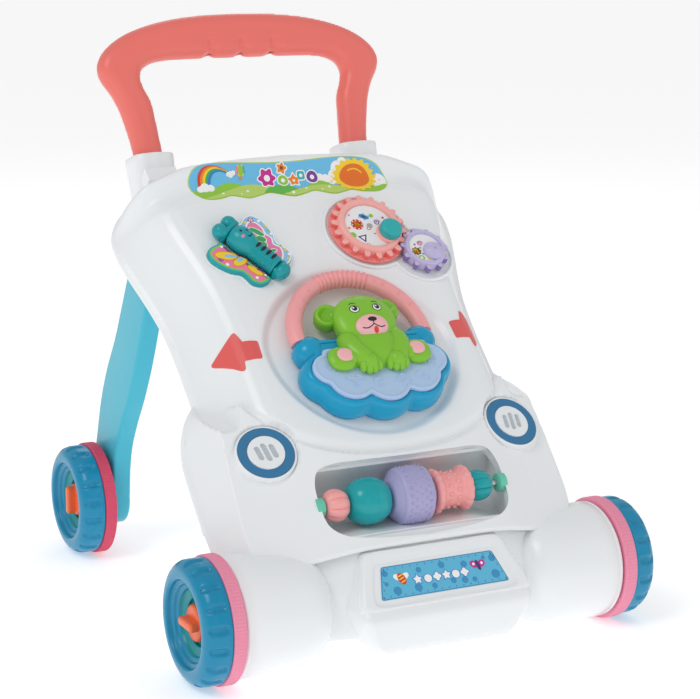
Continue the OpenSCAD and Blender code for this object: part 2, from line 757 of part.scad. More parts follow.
module bear() {
    color("yellowgreen") on_panel() difference() {
        union() {
            bear_head(0);
            bear_belly(0);
            both_sides() {
                translate([27, 118, 14]) sphere(r = 10);
                translate([foot_c[0] + 1.2, foot_c[1] - 0.8, toy_top - 0.2]) cylinder(r = 10.6, h = 7);
                translate([19, 76, toy_top - 3]) sphere(r = 9.5);
                translate([11, 67, toy_top - 1]) sphere(r = 8.6);
            }
        }
        // flat on the cloud, and clear of the dish where the head stands out behind it
        translate([-80, 0, -40]) cube([160, 102, 40 + toy_top + 0.05]);
        translate([-80, 90, -40]) cube([160, 110, 42]);
        both_sides() translate([foot_c[0], foot_c[1], toy_top - 5]) cylinder(r = 6.4, h = 30);
    }
}

module bear_muzzle() {
    color("pink") on_panel() difference() {
        translate([0, 97, 24]) sphere(r = 12.6);
        bear_head(fit);
        bear_belly(fit);
        translate([-80, 0, -40]) cube([160, 200, 40 + toy_top + 3]);
    }
}

// Button in the sole of a foot: a pink pad on a stem that goes down into the cloud
module foot_button(side) {
    color("pink") on_panel([side * foot_c[0], foot_c[1], 0]) {
        translate([0, 0, toy_top + 2.6]) cylinder(r = 6, h = 5.4);
        translate([0, 0, toy_top - 7]) cylinder(r = 4, h = 10);
    }
}

front_shell();
back_cover();
wheel_housing(-1);  // left_wheel_housing
wheel_housing(1);  // right_wheel_housing
plate_box();
plate_label();
top_label();
bead_tray();
bead_bar();
bead_collars();
headlight(-1);  // left_headlight
headlight(1);  // right_headlight
headlight_ring(-1);  // left_headlight_ring
headlight_ring(1);  // right_headlight_ring
arrow(-1);  // left_arrow
arrow(1);  // right_arrow
gear_tray();
gear_pins();
handle();
leg(-1);  // left_leg
leg(1);  // right_leg
front_axle();
rear_axles();
axle_washers();
shell_screws();
leg_screws();
butterfly_base();
butterfly_roller();
front_left() wheel();  // front_left_wheel
front_left() tread();  // front_left_tread
front_left() knob();  // front_left_knob
front_right() wheel();  // front_right_wheel
front_right() tread();  // front_right_tread
front_right() knob();  // front_right_knob
rear_left() wheel();  // rear_left_wheel
rear_left() tread();  // rear_left_tread
rear_left() knob();  // rear_left_knob
rear_right() wheel();  // rear_right_wheel
rear_right() tread();  // rear_right_tread
rear_right() knob();  // rear_right_knob
big_gear();
big_gear_knob();
small_gear();
pink_pumpkin_bead();
teal_ball_bead();
barrel_bead();
spool_bead();
teal_pumpkin_bead();
cloud_base();
cloud_plate();
bear();
bear_muzzle();
foot_button(-1);  // left_foot_button
foot_button(1);  // right_foot_button
ring_handle();
toy_back();
battery_door();
toy_batteries();
toy_speaker();
toy_board();
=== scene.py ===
# Baby walker: the detailed surfaces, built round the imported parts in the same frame.
# Shapes are worked out in millimetres and stored in metres.

import json
import math

import bmesh
import bpy
import numpy as np
from mathutils import Matrix, Vector


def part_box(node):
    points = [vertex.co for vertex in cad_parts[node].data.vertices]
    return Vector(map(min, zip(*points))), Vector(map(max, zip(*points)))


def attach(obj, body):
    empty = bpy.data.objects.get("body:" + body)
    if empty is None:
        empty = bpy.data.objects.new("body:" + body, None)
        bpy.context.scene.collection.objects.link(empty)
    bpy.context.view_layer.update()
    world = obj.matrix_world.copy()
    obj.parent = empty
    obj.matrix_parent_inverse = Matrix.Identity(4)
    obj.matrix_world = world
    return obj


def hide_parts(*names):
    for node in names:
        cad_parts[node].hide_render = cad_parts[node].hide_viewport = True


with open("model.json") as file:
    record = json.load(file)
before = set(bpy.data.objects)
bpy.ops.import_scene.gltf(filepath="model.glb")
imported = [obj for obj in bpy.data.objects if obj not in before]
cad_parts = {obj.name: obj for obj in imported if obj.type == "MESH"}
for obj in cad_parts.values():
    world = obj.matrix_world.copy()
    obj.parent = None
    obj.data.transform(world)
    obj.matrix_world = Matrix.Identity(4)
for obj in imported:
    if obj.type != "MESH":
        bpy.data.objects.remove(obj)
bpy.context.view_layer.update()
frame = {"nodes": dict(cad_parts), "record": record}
NODES = frame["nodes"]
MM = 0.001


# ---- frames ----

def shift(x, y, z):
    return Matrix.Translation((x, y, z))


def turn(degrees, axis):
    return Matrix.Rotation(math.radians(degrees), 4, axis)


def middle(node):
    lo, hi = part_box(node)
    return (lo + hi) / 2 / MM


FRONT_Y = middle("front_axle").y
AXLE_Z = middle("front_axle").z
REAR_Y = middle("rear_axles").y
PANEL_TILT = 43.6
NOSE_TILT = 51.5
PLATE_TILT = 51.3
HANDLE_TILT = 71.8
# Each of these lies in a slanted face: X across, Y up the slope and Z out of the face
PANEL = shift(0, FRONT_Y + 20, 141.9) @ turn(PANEL_TILT, "X")
PLATE = shift(0, FRONT_Y - 24.6, 87) @ turn(PLATE_TILT, "X")
HANDLE = shift(0, FRONT_Y + 283.6, 340.5) @ turn(HANDLE_TILT, "X")
NOSE_SLOPE = math.tan(math.radians(NOSE_TILT - PANEL_TILT))
PANEL_TOP = 4.0
SIDES = (("left", -1), ("right", 1))


# ---- outlines ----

def mirrored(half):
    return list(half) + [(-x, y) for x, y in reversed(half)]


def circle(r, c=(0, 0), n=64, squash=1.0):
    return [(c[0] + r * math.cos(2 * math.pi * i / n), c[1] + squash * r * math.sin(2 * math.pi * i / n))
            for i in range(n)]


def arc(c, r, a0, a1, n=12):
    return [(c[0] + r * math.cos(math.radians(a0 + (a1 - a0) * i / n)),
             c[1] + r * math.sin(math.radians(a0 + (a1 - a0) * i / n))) for i in range(n + 1)]


def smooth(points, per=6, closed=True):
    """A smooth curve through the points."""
    pts = np.array(points, float)
    n = len(pts)
    out = []
    for i in range(n if closed else n - 1):
        if closed:
            p0, p1, p2, p3 = (pts[(i + k) % n] for k in (-1, 0, 1, 2))
        else:
            p0, p1, p2, p3 = pts[max(i - 1, 0)], pts[i], pts[i + 1], pts[min(i + 2, n - 1)]
        t1 = max(np.linalg.norm(p1 - p0), 1e-6) ** 0.5
        t2 = t1 + max(np.linalg.norm(p2 - p1), 1e-6) ** 0.5
        t3 = t2 + max(np.linalg.norm(p3 - p2), 1e-6) ** 0.5
        for k in range(per):
            t = t1 + (t2 - t1) * k / per
            a1 = p0 * (t1 - t) / t1 + p1 * t / t1
            a2 = p1 * (t2 - t) / (t2 - t1) + p2 * (t - t1) / (t2 - t1)
            a3 = p2 * (t3 - t) / (t3 - t2) + p3 * (t - t2) / (t3 - t2)
            b1 = a1 * (t2 - t) / t2 + a2 * t / t2
            b2 = a2 * (t3 - t) / (t3 - t1) + a3 * (t - t1) / (t3 - t1)
            out.append(b1 * (t2 - t) / (t2 - t1) + b2 * (t - t1) / (t2 - t1))
    if not closed:
        out.append(pts[-1])
    return [tuple(p) for p in out]


def area(points):
    p = np.array(points)
    q = np.roll(p, -1, 0)
    return float(np.sum(p[:, 0] * q[:, 1] - q[:, 0] * p[:, 1]) / 2)


def spaced(points, step):
    """The closed outline again, with a point about every step along it, corners kept."""
    out = []
    for i, a in enumerate(points):
        b = points[(i + 1) % len(points)]
        k = max(1, round(math.dist(a, b) / step))
        out += [(a[0] + (b[0] - a[0]) * j / k, a[1] + (b[1] - a[1]) * j / k) for j in range(k)]
    return out


def grow(points, d):
    """The outline pushed outwards by d, or inwards if d is below zero."""
    p = np.array(points, float)
    side = 1 if area(points) > 0 else -1
    e = np.roll(p, -1, 0) - p
    e /= np.maximum(np.linalg.norm(e, axis=1, keepdims=True), 1e-9)
    n = np.stack([e[:, 1], -e[:, 0]], 1) * side
    m = n + np.roll(n, 1, 0)
    m /= np.maximum(np.linalg.norm(m, axis=1, keepdims=True), 1e-9)
    c = np.maximum(np.sum(m * n, axis=1, keepdims=True), 0.5)
    return [tuple(q) for q in p + m * d / c]


def rounded_rect(w, h, r, n=6, c=(0, 0)):
    out = []
    for sx, sy, a in ((1, 1, 0), (-1, 1, 90), (-1, -1, 180), (1, -1, 270)):
        out += arc((c[0] + sx * (w / 2 - r), c[1] + sy * (h / 2 - r)), r, a, a + 90, n)
    return out


def inside_distance(points, xy):
    """Distance from each point of xy to the closed outline: above zero inside, below zero outside."""
    p = np.array(points, float)
    q = np.roll(p, -1, 0)
    best = np.full(len(xy), 1e18)
    inside = np.zeros(len(xy), bool)
    for (ax, ay), (bx, by) in zip(p, q):
        dx, dy = bx - ax, by - ay
        t = np.clip(((xy[:, 0] - ax) * dx + (xy[:, 1] - ay) * dy) / max(dx * dx + dy * dy, 1e-12), 0, 1)
        best = np.minimum(best, (xy[:, 0] - ax - t * dx) ** 2 + (xy[:, 1] - ay - t * dy) ** 2)
        if ay != by:
            hit = (ay > xy[:, 1]) != (by > xy[:, 1])
            inside ^= hit & (xy[:, 0] < (xy[:, 1] - ay) / (by - ay) * dx + ax)
    return np.where(inside, 1, -1) * np.sqrt(best)


# ---- solid shapes: each returns (points, faces) ----

def loft(rings, cap_start=True, cap_end=True, closed=True):
    """A skin over rings with the same number of points. A ring of one point is a pole."""
    verts, starts = [], []
    for ring in rings:
        starts.append(len(verts))
        verts += [tuple(p) for p in ring]
    faces = []
    for k in range(len(rings) - 1):
        a, b, na, nb = starts[k], starts[k + 1], len(rings[k]), len(rings[k + 1])
        n = max(na, nb)
        for i in range(n if closed else n - 1):
            j = (i + 1) % n
            if na == 1 and nb == 1:
                continue
            if na == 1:
                faces.append((a, b + j, b + i))
            elif nb == 1:
                faces.append((a + i, a + j, b))
            else:
                faces.append((a + i, a + j, b + j, b + i))
    if cap_start and len(rings[0]) > 2:
        faces.append(tuple(range(starts[0] + len(rings[0]) - 1, starts[0] - 1, -1)))
    if cap_end and len(rings[-1]) > 2:
        faces.append(tuple(range(starts[-1], starts[-1] + len(rings[-1]))))
    return verts, faces


def revolve(profile, n=96, wave=None):
    """A body turned round Z from (radius, height) points. wave(angle, r, z) may change the radius."""
    rings = []
    for r, z in profile:
        if r < 1e-6:
            rings.append([(0, 0, z)])
            continue
        ring = []
        for i in range(n):
            a = 2 * math.pi * i / n
            rr = r if wave is None else wave(a, r, z)
            ring.append((rr * math.cos(a), rr * math.sin(a), z))
        rings.append(ring)
    return loft(rings)


def slab(outline, z0, z1, top=0.0, bottom=0.0, steps=4):
    """A plate with rounded edges from its outline."""
    if area(outline) < 0:
        outline = list(reversed(outline))
    rings = []
    if bottom > 0:
        for i in range(steps):
            a = math.pi / 2 * i / steps
            inset = bottom * (1 - math.sin(a))
            rings.append([(x, y, z0 + bottom * (1 - math.cos(a))) for x, y in grow(outline, -inset)])
    rings.append([(x, y, z0 + bottom) for x, y in outline])
    if z1 - top > z0 + bottom + 1e-6 or top == 0:
        rings.append([(x, y, z1 - top) for x, y in outline])
    if top > 0:
        for i in range(1, steps + 1):
            a = math.pi / 2 * i / steps
            inset = top * (1 - math.cos(a))
            rings.append([(x, y, z1 - top + top * math.sin(a)) for x, y in grow(outline, -inset)])
    return loft(rings)


def tube(path, radius, n=20, closed=False):
    """A round bar along the path. radius is one number, or one for each point."""
    pts = [Vector(p) for p in path]
    m = len(pts)
    radii = radius if isinstance(radius, (list, tuple)) else [radius] * m
    rings = []
    normal = None
    for i, p in enumerate(pts):
        a = pts[(i - 1) % m] if closed or i else p
        b = pts[(i + 1) % m] if closed or i < m - 1 else p
        t = (b - a).normalized()
        if normal is None:
            normal = t.orthogonal().normalized()
        normal = (normal - t * normal.dot(t)).normalized()
        other = t.cross(normal)
        rings.append([tuple(p + radii[i] * (normal * math.cos(2 * math.pi * k / n) +
                                            other * math.sin(2 * math.pi * k / n))) for k in range(n)])
    if closed:
        rings.append(rings[0])
    return loft(rings, not closed, not closed)


def ball(c, r, n=40, scale=(1, 1, 1)):
    profile = [(r * math.sin(math.pi * i / (n // 2)), -r * math.cos(math.pi * i / (n // 2)))
               for i in range(n // 2 + 1)]
    profile[0], profile[-1] = (0, -r), (0, r)
    verts, faces = revolve(profile, n)
    return [(c[0] + x * scale[0], c[1] + y * scale[1], c[2] + z * scale[2]) for x, y, z in verts], faces


def moved(shape, place):
    return [tuple(place @ Vector(v)) for v in shape[0]], shape[1]


def joined(*shapes):
    verts, faces = [], []
    for v, f in shapes:
        base = len(verts)
        verts += list(v)
        faces += [tuple(base + i for i in face) for face in f]
    return verts, faces


def clipped(distance, box, cell):
    """A fine square net over the region where distance(xy) is above zero, its edge pulled onto the outline.
    Returns the net's points, its faces and its edge loops."""
    x0, x1, y0, y1 = box
    nx, ny = int(math.ceil((x1 - x0) / cell)) + 1, int(math.ceil((y1 - y0) / cell)) + 1
    gx, gy = np.meshgrid(x0 + np.arange(nx) * cell, y0 + np.arange(ny) * cell)
    xy = np.stack([gx.ravel(), gy.ravel()], 1)
    d = distance(xy)
    near = np.abs(d) < cell * 0.5
    for _ in range(3):
        p = xy[near]
        s = distance(p)
        h = cell * 0.05
        grad = np.stack([distance(p + (h, 0)) - distance(p - (h, 0)),
                         distance(p + (0, h)) - distance(p - (0, h))], 1)
        grad /= np.maximum(np.linalg.norm(grad, axis=1, keepdims=True), 1e-9)
        xy[near] = p - grad * s[:, None]
    keep = near | (d > 0)
    ids = np.arange(nx * ny).reshape(ny, nx)
    a, b, c, e = ids[:-1, :-1].ravel(), ids[:-1, 1:].ravel(), ids[1:, 1:].ravel(), ids[1:, :-1].ravel()
    corners = np.stack([a, b, c, e], 1)
    count = keep[corners].sum(1)
    edge_only = near[corners].all(1)
    centre_in = distance(xy[corners].mean(1)) > 0
    faces = [tuple(q) for q in corners[(count == 4) & (~edge_only | centre_in)]]
    for q in corners[count == 3]:
        tri = [i for i in q if keep[i]]
        if not near[tri].all() or distance(xy[tri].mean(0)[None])[0] > 0:
            faces.append(tuple(tri))
    used = sorted({i for f in faces for i in f})
    new = {i: k for k, i in enumerate(used)}
    faces = [tuple(new[i] for i in f) for f in faces]
    edges = {}
    for f in faces:
        for i in range(len(f)):
            u, v = f[i], f[(i + 1) % len(f)]
            if (v, u) in edges:
                del edges[(v, u)]
            else:
                edges[(u, v)] = True
    after = {}
    for u, v in edges:
        after.setdefault(u, []).append(v)
    loops = []
    while after:
        start = next(iter(after))
        loop, at = [start], after[start].pop()
        if not after[start]:
            del after[start]
        while at != start and at in after:
            loop.append(at)
            step = after[at].pop()
            if not after[at]:
                del after[at]
            at = step
        loops.append(loop)
    return xy[used], faces, loops


def draped(distance, box, cell, height, rims=(), floor=None):
    """A surface at height(xy) over the region. Each rim lists the (outwards, down) steps its edge takes.
    rims gives one list for each edge loop, the longest loop first."""
    xy, faces, loops = clipped(distance, box, cell)
    z = height(xy)
    verts = [(x, y, h) for (x, y), h in zip(xy, z)]
    loops.sort(key=len, reverse=True)
    for k, loop in enumerate(loops):
        steps = rims[min(k, len(rims) - 1)] if rims else ()
        if not steps:
            continue
        p = xy[loop]
        t = np.roll(p, -1, 0) - np.roll(p, 1, 0)
        t = (t + 0.5 * np.roll(t, 1, 0) + 0.5 * np.roll(t, -1, 0))
        t /= np.maximum(np.linalg.norm(t, axis=1, keepdims=True), 1e-9)
        n = np.stack([t[:, 1], -t[:, 0]], 1)
        last = loop
        for out, down in steps:
            base = len(verts)
            for (x, y), (u, v), h in zip(p, n, z[loop]):
                verts.append((x + u * out, y + v * out, h - down if down is not None else floor))
            ring = list(range(base, base + len(loop)))
            m = len(loop)
            faces += [(last[i], ring[i], ring[(i + 1) % m], last[(i + 1) % m]) for i in range(m)]
            last = ring
    return verts, faces


# ---- materials ----

def linear(rgb):
    return tuple((c / 255 / 12.92) if c / 255 <= 0.04045 else ((c / 255 + 0.055) / 1.055) ** 2.4 for c in rgb)


MATERIALS = {}


def plastic(name, rgb, rough=0.3, coat=0.0, grain=0.03, grain_size=900.0, skin=0.0, metal=0.0, ior=1.47):
    """A moulded plastic or metal: even colour, slightly uneven gloss, faint moulding texture."""
    if name in MATERIALS:
        return MATERIALS[name]
    mat = bpy.data.materials.new(name)
    mat.use_nodes = True
    nodes, links = mat.node_tree.nodes, mat.node_tree.links
    shader = nodes["Principled BSDF"]
    shader.inputs["Base Color"].default_value = (*linear(rgb), 1)
    shader.inputs["Metallic"].default_value = metal
    shader.inputs["IOR"].default_value = ior
    shader.inputs["Coat Weight"].default_value = coat
    shader.inputs["Coat Roughness"].default_value = 0.12
    if skin:
        shader.inputs["Subsurface Weight"].default_value = skin
        shader.inputs["Subsurface Radius"].default_value = (1.0, 1.0, 1.0)
        shader.inputs["Subsurface Scale"].default_value = 0.002
    place = nodes.new("ShaderNodeTexCoord")
    gloss = nodes.new("ShaderNodeTexNoise")
    gloss.inputs["Scale"].default_value = 35.0
    gloss.inputs["Detail"].default_value = 3.0
    spread = nodes.new("ShaderNodeMapRange")
    spread.inputs["To Min"].default_value = max(rough - 0.05, 0.03)
    spread.inputs["To Max"].default_value = rough + 0.05
    fine = nodes.new("ShaderNodeTexNoise")
    fine.inputs["Scale"].default_value = grain_size
    fine.inputs["Detail"].default_value = 2.0
    bump = nodes.new("ShaderNodeBump")
    bump.inputs["Strength"].default_value = grain
    bump.inputs["Distance"].default_value = 0.0005
    links.new(place.outputs["Object"], gloss.inputs["Vector"])
    links.new(place.outputs["Object"], fine.inputs["Vector"])
    links.new(gloss.outputs["Fac"], spread.inputs["Value"])
    links.new(spread.outputs["Result"], shader.inputs["Roughness"])
    links.new(fine.outputs["Fac"], bump.inputs["Height"])
    links.new(bump.outputs["Normal"], shader.inputs["Normal"])
    MATERIALS[name] = mat
    return mat


WHITE = plastic("white_shell", (244, 247, 249), 0.24, skin=0.0)
CORAL = plastic("coral_handle", (243, 120, 110), 0.34)
LEG = plastic("teal_leg", (64, 188, 212), 0.36)
BLUE = plastic("blue_wheel", (0, 140, 182), 0.26)
PINK_TREAD = plastic("front_tread", (246, 150, 178), 0.5, grain=0.1)
RED_TREAD = plastic("rear_tread", (222, 74, 106), 0.5, grain=0.1)
ORANGE = plastic("orange_knob", (252, 112, 62), 0.3)
plastic("steel", (196, 200, 206), 0.28, metal=1.0, grain=0.02, grain_size=300)
SKY = plastic("label_blue", (112, 196, 240), 0.3, grain=0.01)
DEEP_SKY = plastic("plate_blue", (98, 190, 226), 0.3, grain=0.01)
MINT = plastic("mint", (110, 205, 180), 0.3)
LAMP_BLUE = plastic("lamp_ring", (52, 122, 168), 0.4)
ARROW = plastic("arrow_coral", (234, 98, 94), 0.36)
plastic("grey_tray", (222, 224, 229), 0.4)
GEAR_PINK = plastic("gear_pink", (252, 150, 146), 0.34)
GEAR_LAVENDER = plastic("gear_lavender", (176, 166, 216), 0.34)
FLY_TEAL = plastic("butterfly_teal", (12, 160, 168), 0.26)
KNOB_TEAL = plastic("knob_teal", (44, 178, 180), 0.32)
BEAD_PINK = plastic("bead_pink", (252, 172, 170), 0.34)
BEAD_TEAL = plastic("bead_teal", (8, 166, 172), 0.22)
BEAD_LAVENDER = plastic("bead_lavender", (176, 172, 214), 0.36)
CLOUD_BLUE = plastic("cloud_blue", (0, 160, 204), 0.22)
CLOUD_PLATE = plastic("cloud_plate", (182, 208, 242), 0.34)
BEAR_GREEN = plastic("bear_green", (134, 200, 50), 0.3)
BEAR_PINK = plastic("bear_pink", (250, 186, 192), 0.34)
RING_PINK = plastic("ring_pink", (252, 170, 172), 0.34)
plastic("battery", (206, 170, 84), 0.35)
plastic("speaker", (44, 44, 48), 0.6)
plastic("board", (34, 110, 70), 0.45)
BLACK = plastic("print_black", (26, 30, 34), 0.4)


# ---- pieces ----

def piece(name, shape, materials, body="walker", slot=None, nodes=(), place=None, sharp=38, tones=None):
    """Adds an object. materials is one material, or several with tones giving each face's index."""
    verts, faces = shape
    mesh = bpy.data.meshes.new(name)
    matrix = Matrix.Identity(4) if place is None else place
    mesh.from_pydata([(matrix @ Vector(v)) * MM for v in verts], [], faces)
    if not isinstance(materials, (list, tuple)):
        materials = [materials]
    for m in materials:
        mesh.materials.append(m)
    if tones is not None:
        mesh.polygons.foreach_set("material_index", tones)
    bm = bmesh.new()
    bm.from_mesh(mesh)
    bmesh.ops.remove_doubles(bm, verts=bm.verts, dist=1e-7)
    bmesh.ops.recalc_face_normals(bm, faces=bm.faces)
    bm.to_mesh(mesh)
    bm.free()
    mesh.shade_smooth()
    mesh.set_sharp_from_angle(angle=math.radians(sharp))
    made = bpy.data.objects.new(name, mesh)
    bpy.context.scene.collection.objects.link(made)
    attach(made, body)
    if nodes:
        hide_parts(*([nodes] if isinstance(nodes, str) else nodes))
    return made


class Print:
    """A printed or moulded picture: flat coloured shapes laid over each other."""

    def __init__(self, height=None, cell=1.0, step=0.09, base=0.0):
        self.verts, self.faces, self.tones, self.materials = [], [], [], []
        self.height, self.cell, self.step, self.base = height, cell, step, base

    def add(self, outline, material, level, within=None):
        """Lays an outline at a level of the stack, in a material or an ink; within cuts it to an outline."""
        material, base = INK.get(material, material) if isinstance(material, str) else material, self.base
        if material not in self.materials:
            self.materials.append(material)
        outline = list(outline)
        if area(outline) < 0:
            outline.reverse()
        z = base + level * self.step
        if self.height is None and within is None:
            shape = loft([[(x, y, base - 0.02) for x, y in outline], [(x, y, z) for x, y in outline]], False,
                         True)
        else:
            p = np.array(outline)
            lo, hi = p.min(0) - self.cell, p.max(0) + self.cell

            def reach(xy):
                d = inside_distance(outline, xy)
                return d if within is None else np.minimum(d, inside_distance(within, xy))

            def rise(xy):
                return z + (np.zeros(len(xy)) if self.height is None else self.height(xy))

            shape = draped(reach, (lo[0], hi[0], lo[1], hi[1]), self.cell, rise,
                           rims=[[(0.0, z - base + 0.03)]])
        start = len(self.verts)
        self.verts += list(shape[0])
        self.faces += [tuple(start + i for i in f) for f in shape[1]]
        self.tones += [self.materials.index(material)] * len(shape[1])

    def piece(self, name, **options):
        return piece(name, (self.verts, self.faces), self.materials, tones=self.tones, sharp=50, **options)


# ---- panel casing ----

# Outline of the panel alone, as (across, up the slope), and of the wider nose below it
PANEL_HALF = smooth([(0, 292), (70, 288.5), (112, 281), (134, 268), (145.5, 248), (145.5, 226), (141, 204),
                     (136, 184), (131, 158), (129, 128), (128.7, 104), (128.7, 86)], 6, closed=False)
NOSE_HALF = smooth([(128.7, 86), (134, 80.5), (140, 71), (144.8, 58), (147.2, 42), (148.2, 22), (148.4, 3),
                    (148, -18), (147, -36), (144, -54)], 6, closed=False)
PANEL_ONLY = mirrored(PANEL_HALF + [(128.7, -140)])
CASING = mirrored(PANEL_HALF + NOSE_HALF[1:] + [(140, -60), (100, -66.5), (0, -66.5)])
DISH = (0.0, 97.0)
DISH_FLOOR = PANEL_TOP - 5
BIG = (44.0, 203.5)
SMALL = (83.57, 177.41)
FLY = (-60.0, 190.0)
FLY_TURN = 35.7
LAMP = (102.6, 19.5)
LAMP_W = -7.5
LAMP_TILT = 6


def ease(a, b, x):
    t = np.clip((x - a) / (b - a), 0, 1)
    return t * t * (3 - 2 * t)


def softly(a, b, r):
    """The lower of two heights, blended over about r."""
    h = np.clip(0.5 + (b - a) / (2 * r), 0, 1)
    return b * (1 - h) + a * h - r * h * (1 - h)


def nose_edge(x):
    """Where the nose begins, up the slope, for each distance across."""
    x = np.abs(x)
    main = 3 + 0.0017 * x ** 2 + 2.6e-7 * x ** 4
    outer = 65 + 0.85 * (x - 112)
    return np.where(x > 112, outer, main)


def slot_distance(xy, at, angle, length, width):
    """Distance inside a rounded slot."""
    a = math.radians(angle)
    u = (xy[:, 0] - at[0]) * math.cos(a) + (xy[:, 1] - at[1]) * math.sin(a)
    v = -(xy[:, 0] - at[0]) * math.sin(a) + (xy[:, 1] - at[1]) * math.cos(a)
    u = np.abs(u) - np.minimum(np.abs(u), length / 2)
    return width / 2 - np.hypot(u, v)


def casing_height(xy, detail=True):
    """Height of the casing's outer surface over the panel's frame plane."""
    x, v = xy[:, 0], xy[:, 1]
    ax = np.abs(x)
    d = np.maximum(inside_distance(PANEL_ONLY, xy), 0)
    side = np.interp(d, [0, 2, 6, 11, 16, 21, 25, 29, 34, 41, 50, 60],
                     [-38, -37.2, -33.5, -27.5, -19.5, -11, -5.2, -1.2, 1.8, 3.5, 4, 4])
    upper = np.interp(d, [0, 1.5, 4, 7, 10, 14, 18, 24], [-38, -22, -8, -0.5, 2.6, 4, 4, 4])
    high = ease(244, 272, v)
    edge = side * (1 - high) + upper * high
    rise = 7 * ease(256, 284, v) * ease(118, 84, ax)
    panel = edge + rise
    # groove and soft ridge behind the nose, then the round dish
    e = (v - nose_edge(x)) * 0.9
    low = ease(118, 96, ax)
    groove = -4.6 * np.exp(-(np.maximum(e, 0) / 5.0) ** 2) * low
    r = np.hypot(x - DISH[0], v - DISH[1])
    wide = 81 - 6 * ease(100, 160, v)
    bowl = ease(wide, wide - 9, r)
    panel = (panel + groove) * (1 - bowl) + DISH_FLOOR * bowl
    # the nose: a shallow arch across with a crisp edge, and flanks that flare out to the flange
    face = np.interp(ax, [0, 30, 50, 66, 78, 90, 104, 118, 130, 140],
                     [4, 3.8, 3.1, 1.0, -1.9, -5.3, -8.9, -11.8, -13.8, -15.5])
    face = face + v * NOSE_SLOPE
    half = np.interp(-v, [-y for _, y in NOSE_HALF], [a for a, _ in NOSE_HALF])
    dn = np.maximum(half - ax, 0)
    deep = -38 - 9 * ease(84, 40, v)
    drop = np.interp(dn, [0, 2, 5, 8, 11, 14, 16.5, 19, 22, 40], [0, 1.6, 8, 15, 22, 29, 36, 46, 60, 140])
    flank = deep + drop * 1.02
    nose = softly(flank, face, 1.6)
    away = np.maximum(nose_edge(x) - v, 0)
    shoulder = panel + 1.5 + 0.42 * away + 0.011 * away ** 2 + 60 * ease(118, 92, ax)
    nose = softly(shoulder, nose, 1.5)
    t = ease(-2.2, 2.8 + 4.0 * ease(80, 100, ax), v - nose_edge(x))
    h = nose * (1 - t) + panel * t
    if not detail:
        return h
    # sunk seats for the gears and flat bosses for the headlights
    for c, inner in ((BIG, 34.6), (SMALL, 24.8)):
        q = np.hypot(x - c[0], v - c[1])
        h = np.where(q < inner, PANEL_TOP - 1.2, h)
    lean = math.tan(math.radians(LAMP_TILT))
    q = np.hypot(ax - LAMP[0], v - LAMP[1])
    boss = ease(24.4, 23.4, q)
    h = h * (1 - boss) + (LAMP_W - 0.3 - (ax - LAMP[0]) * lean) * boss
    # faint moulded pictures on the panel
    emboss = np.zeros(len(xy))
    for at, angle, length in (((8, 236), 0, 34), ((-18, 226), 90, 14), ((4, 226), 90, 12),
                              ((-2, 205), 90, 22), ((4, 190), 0, 10), ((22, 238), 0, 22)):
        emboss = np.maximum(emboss, ease(-0.6, 0.6, slot_distance(xy, at, angle, length, 1.4)))
    for c, q in (((-14, 222), 5.5), ((10, 222), 5.5), ((-2, 188), 4.5), ((12, 194), 4.0), ((2, 212), 3.6)):
        emboss = np.maximum(emboss, ease(1.1, 0.2, np.abs(np.hypot(x - c[0], v - c[1]) - q)))
    return h + 0.35 * emboss


WINDOW = spaced(smooth(mirrored([(0, -1.5), (40, -0.8), (62, -0.4), (71, -3), (75.5, -12), (76.5, -30),
                                 (74, -46), (64, -56), (40, -62), (0, -65)]), 5), 1.5)
WINDOW_ON_PANEL = [(x, y * math.cos(math.radians(NOSE_TILT - PANEL_TILT))) for x, y in WINDOW]
POCKET = [(FLY[0] + x * math.cos(math.radians(FLY_TURN)) - y * math.sin(math.radians(FLY_TURN)),
           FLY[1] + x * math.sin(math.radians(FLY_TURN)) + y * math.cos(math.radians(FLY_TURN)))
          for x, y in rounded_rect(25.6, 47.6, 2, 3, (0, -0.4))]


def casing_distance(xy):
    d = inside_distance(CASING, xy)
    d = np.minimum(d, -inside_distance(WINDOW_ON_PANEL, xy))
    return np.minimum(d, -inside_distance(POCKET, xy))


CELL = 1.2
casing = draped(casing_distance, (-154, 154, -68, 294), CELL, casing_height, rims=[
    [(0.5, 0.4), (1.0, 1.4), (1.1, 4.0), (-1.4, 4.0), (-1.6, 1.0)],
    [(-0.3, 0.1), (-0.9, 0.7), (-1.3, 1.8), (-1.3, 5.0), (-1.3, 9.0)],
    [(-0.2, 0.1), (-0.4, 0.5), (-0.4, 3.0), (-0.4, 9.0)]])
piece("front_shell_surface", casing, WHITE, slot="white_shell", nodes="front_shell", place=PANEL, sharp=50)

# Chin of the nose, between the wheel housings
CHIN = [(20, 97), (-16, 96), (-19.6, 89.4), (-28, 62.4), (-28.4, 58), (-27.6, 28), (-25.6, 23.8), (-22, 22.6),
        (28, 22.6), (33, 27), (40, 58), (52, 84)]
CHIN_LINE = spaced(CHIN, 4)
chin_rings = []
for x in np.linspace(-87, 87, 41):
    fall = 9.5 * float(ease(44, 88, abs(x)))
    chin_rings.append([(p[0] + 0.75 * fall * (1 if p[0] < 0 else 0), p[1] - fall * float(ease(52, 84, p[1])),
                        float(x))
                       for p in CHIN_LINE])
chin = loft(chin_rings)
CROSSWAYS = Matrix(((0, 0, 1, 0), (1, 0, 0, FRONT_Y), (0, 1, 0, 0), (0, 0, 0, 1)))
piece("front_shell_chin", chin, WHITE, slot="white_shell", place=CROSSWAYS, sharp=30)

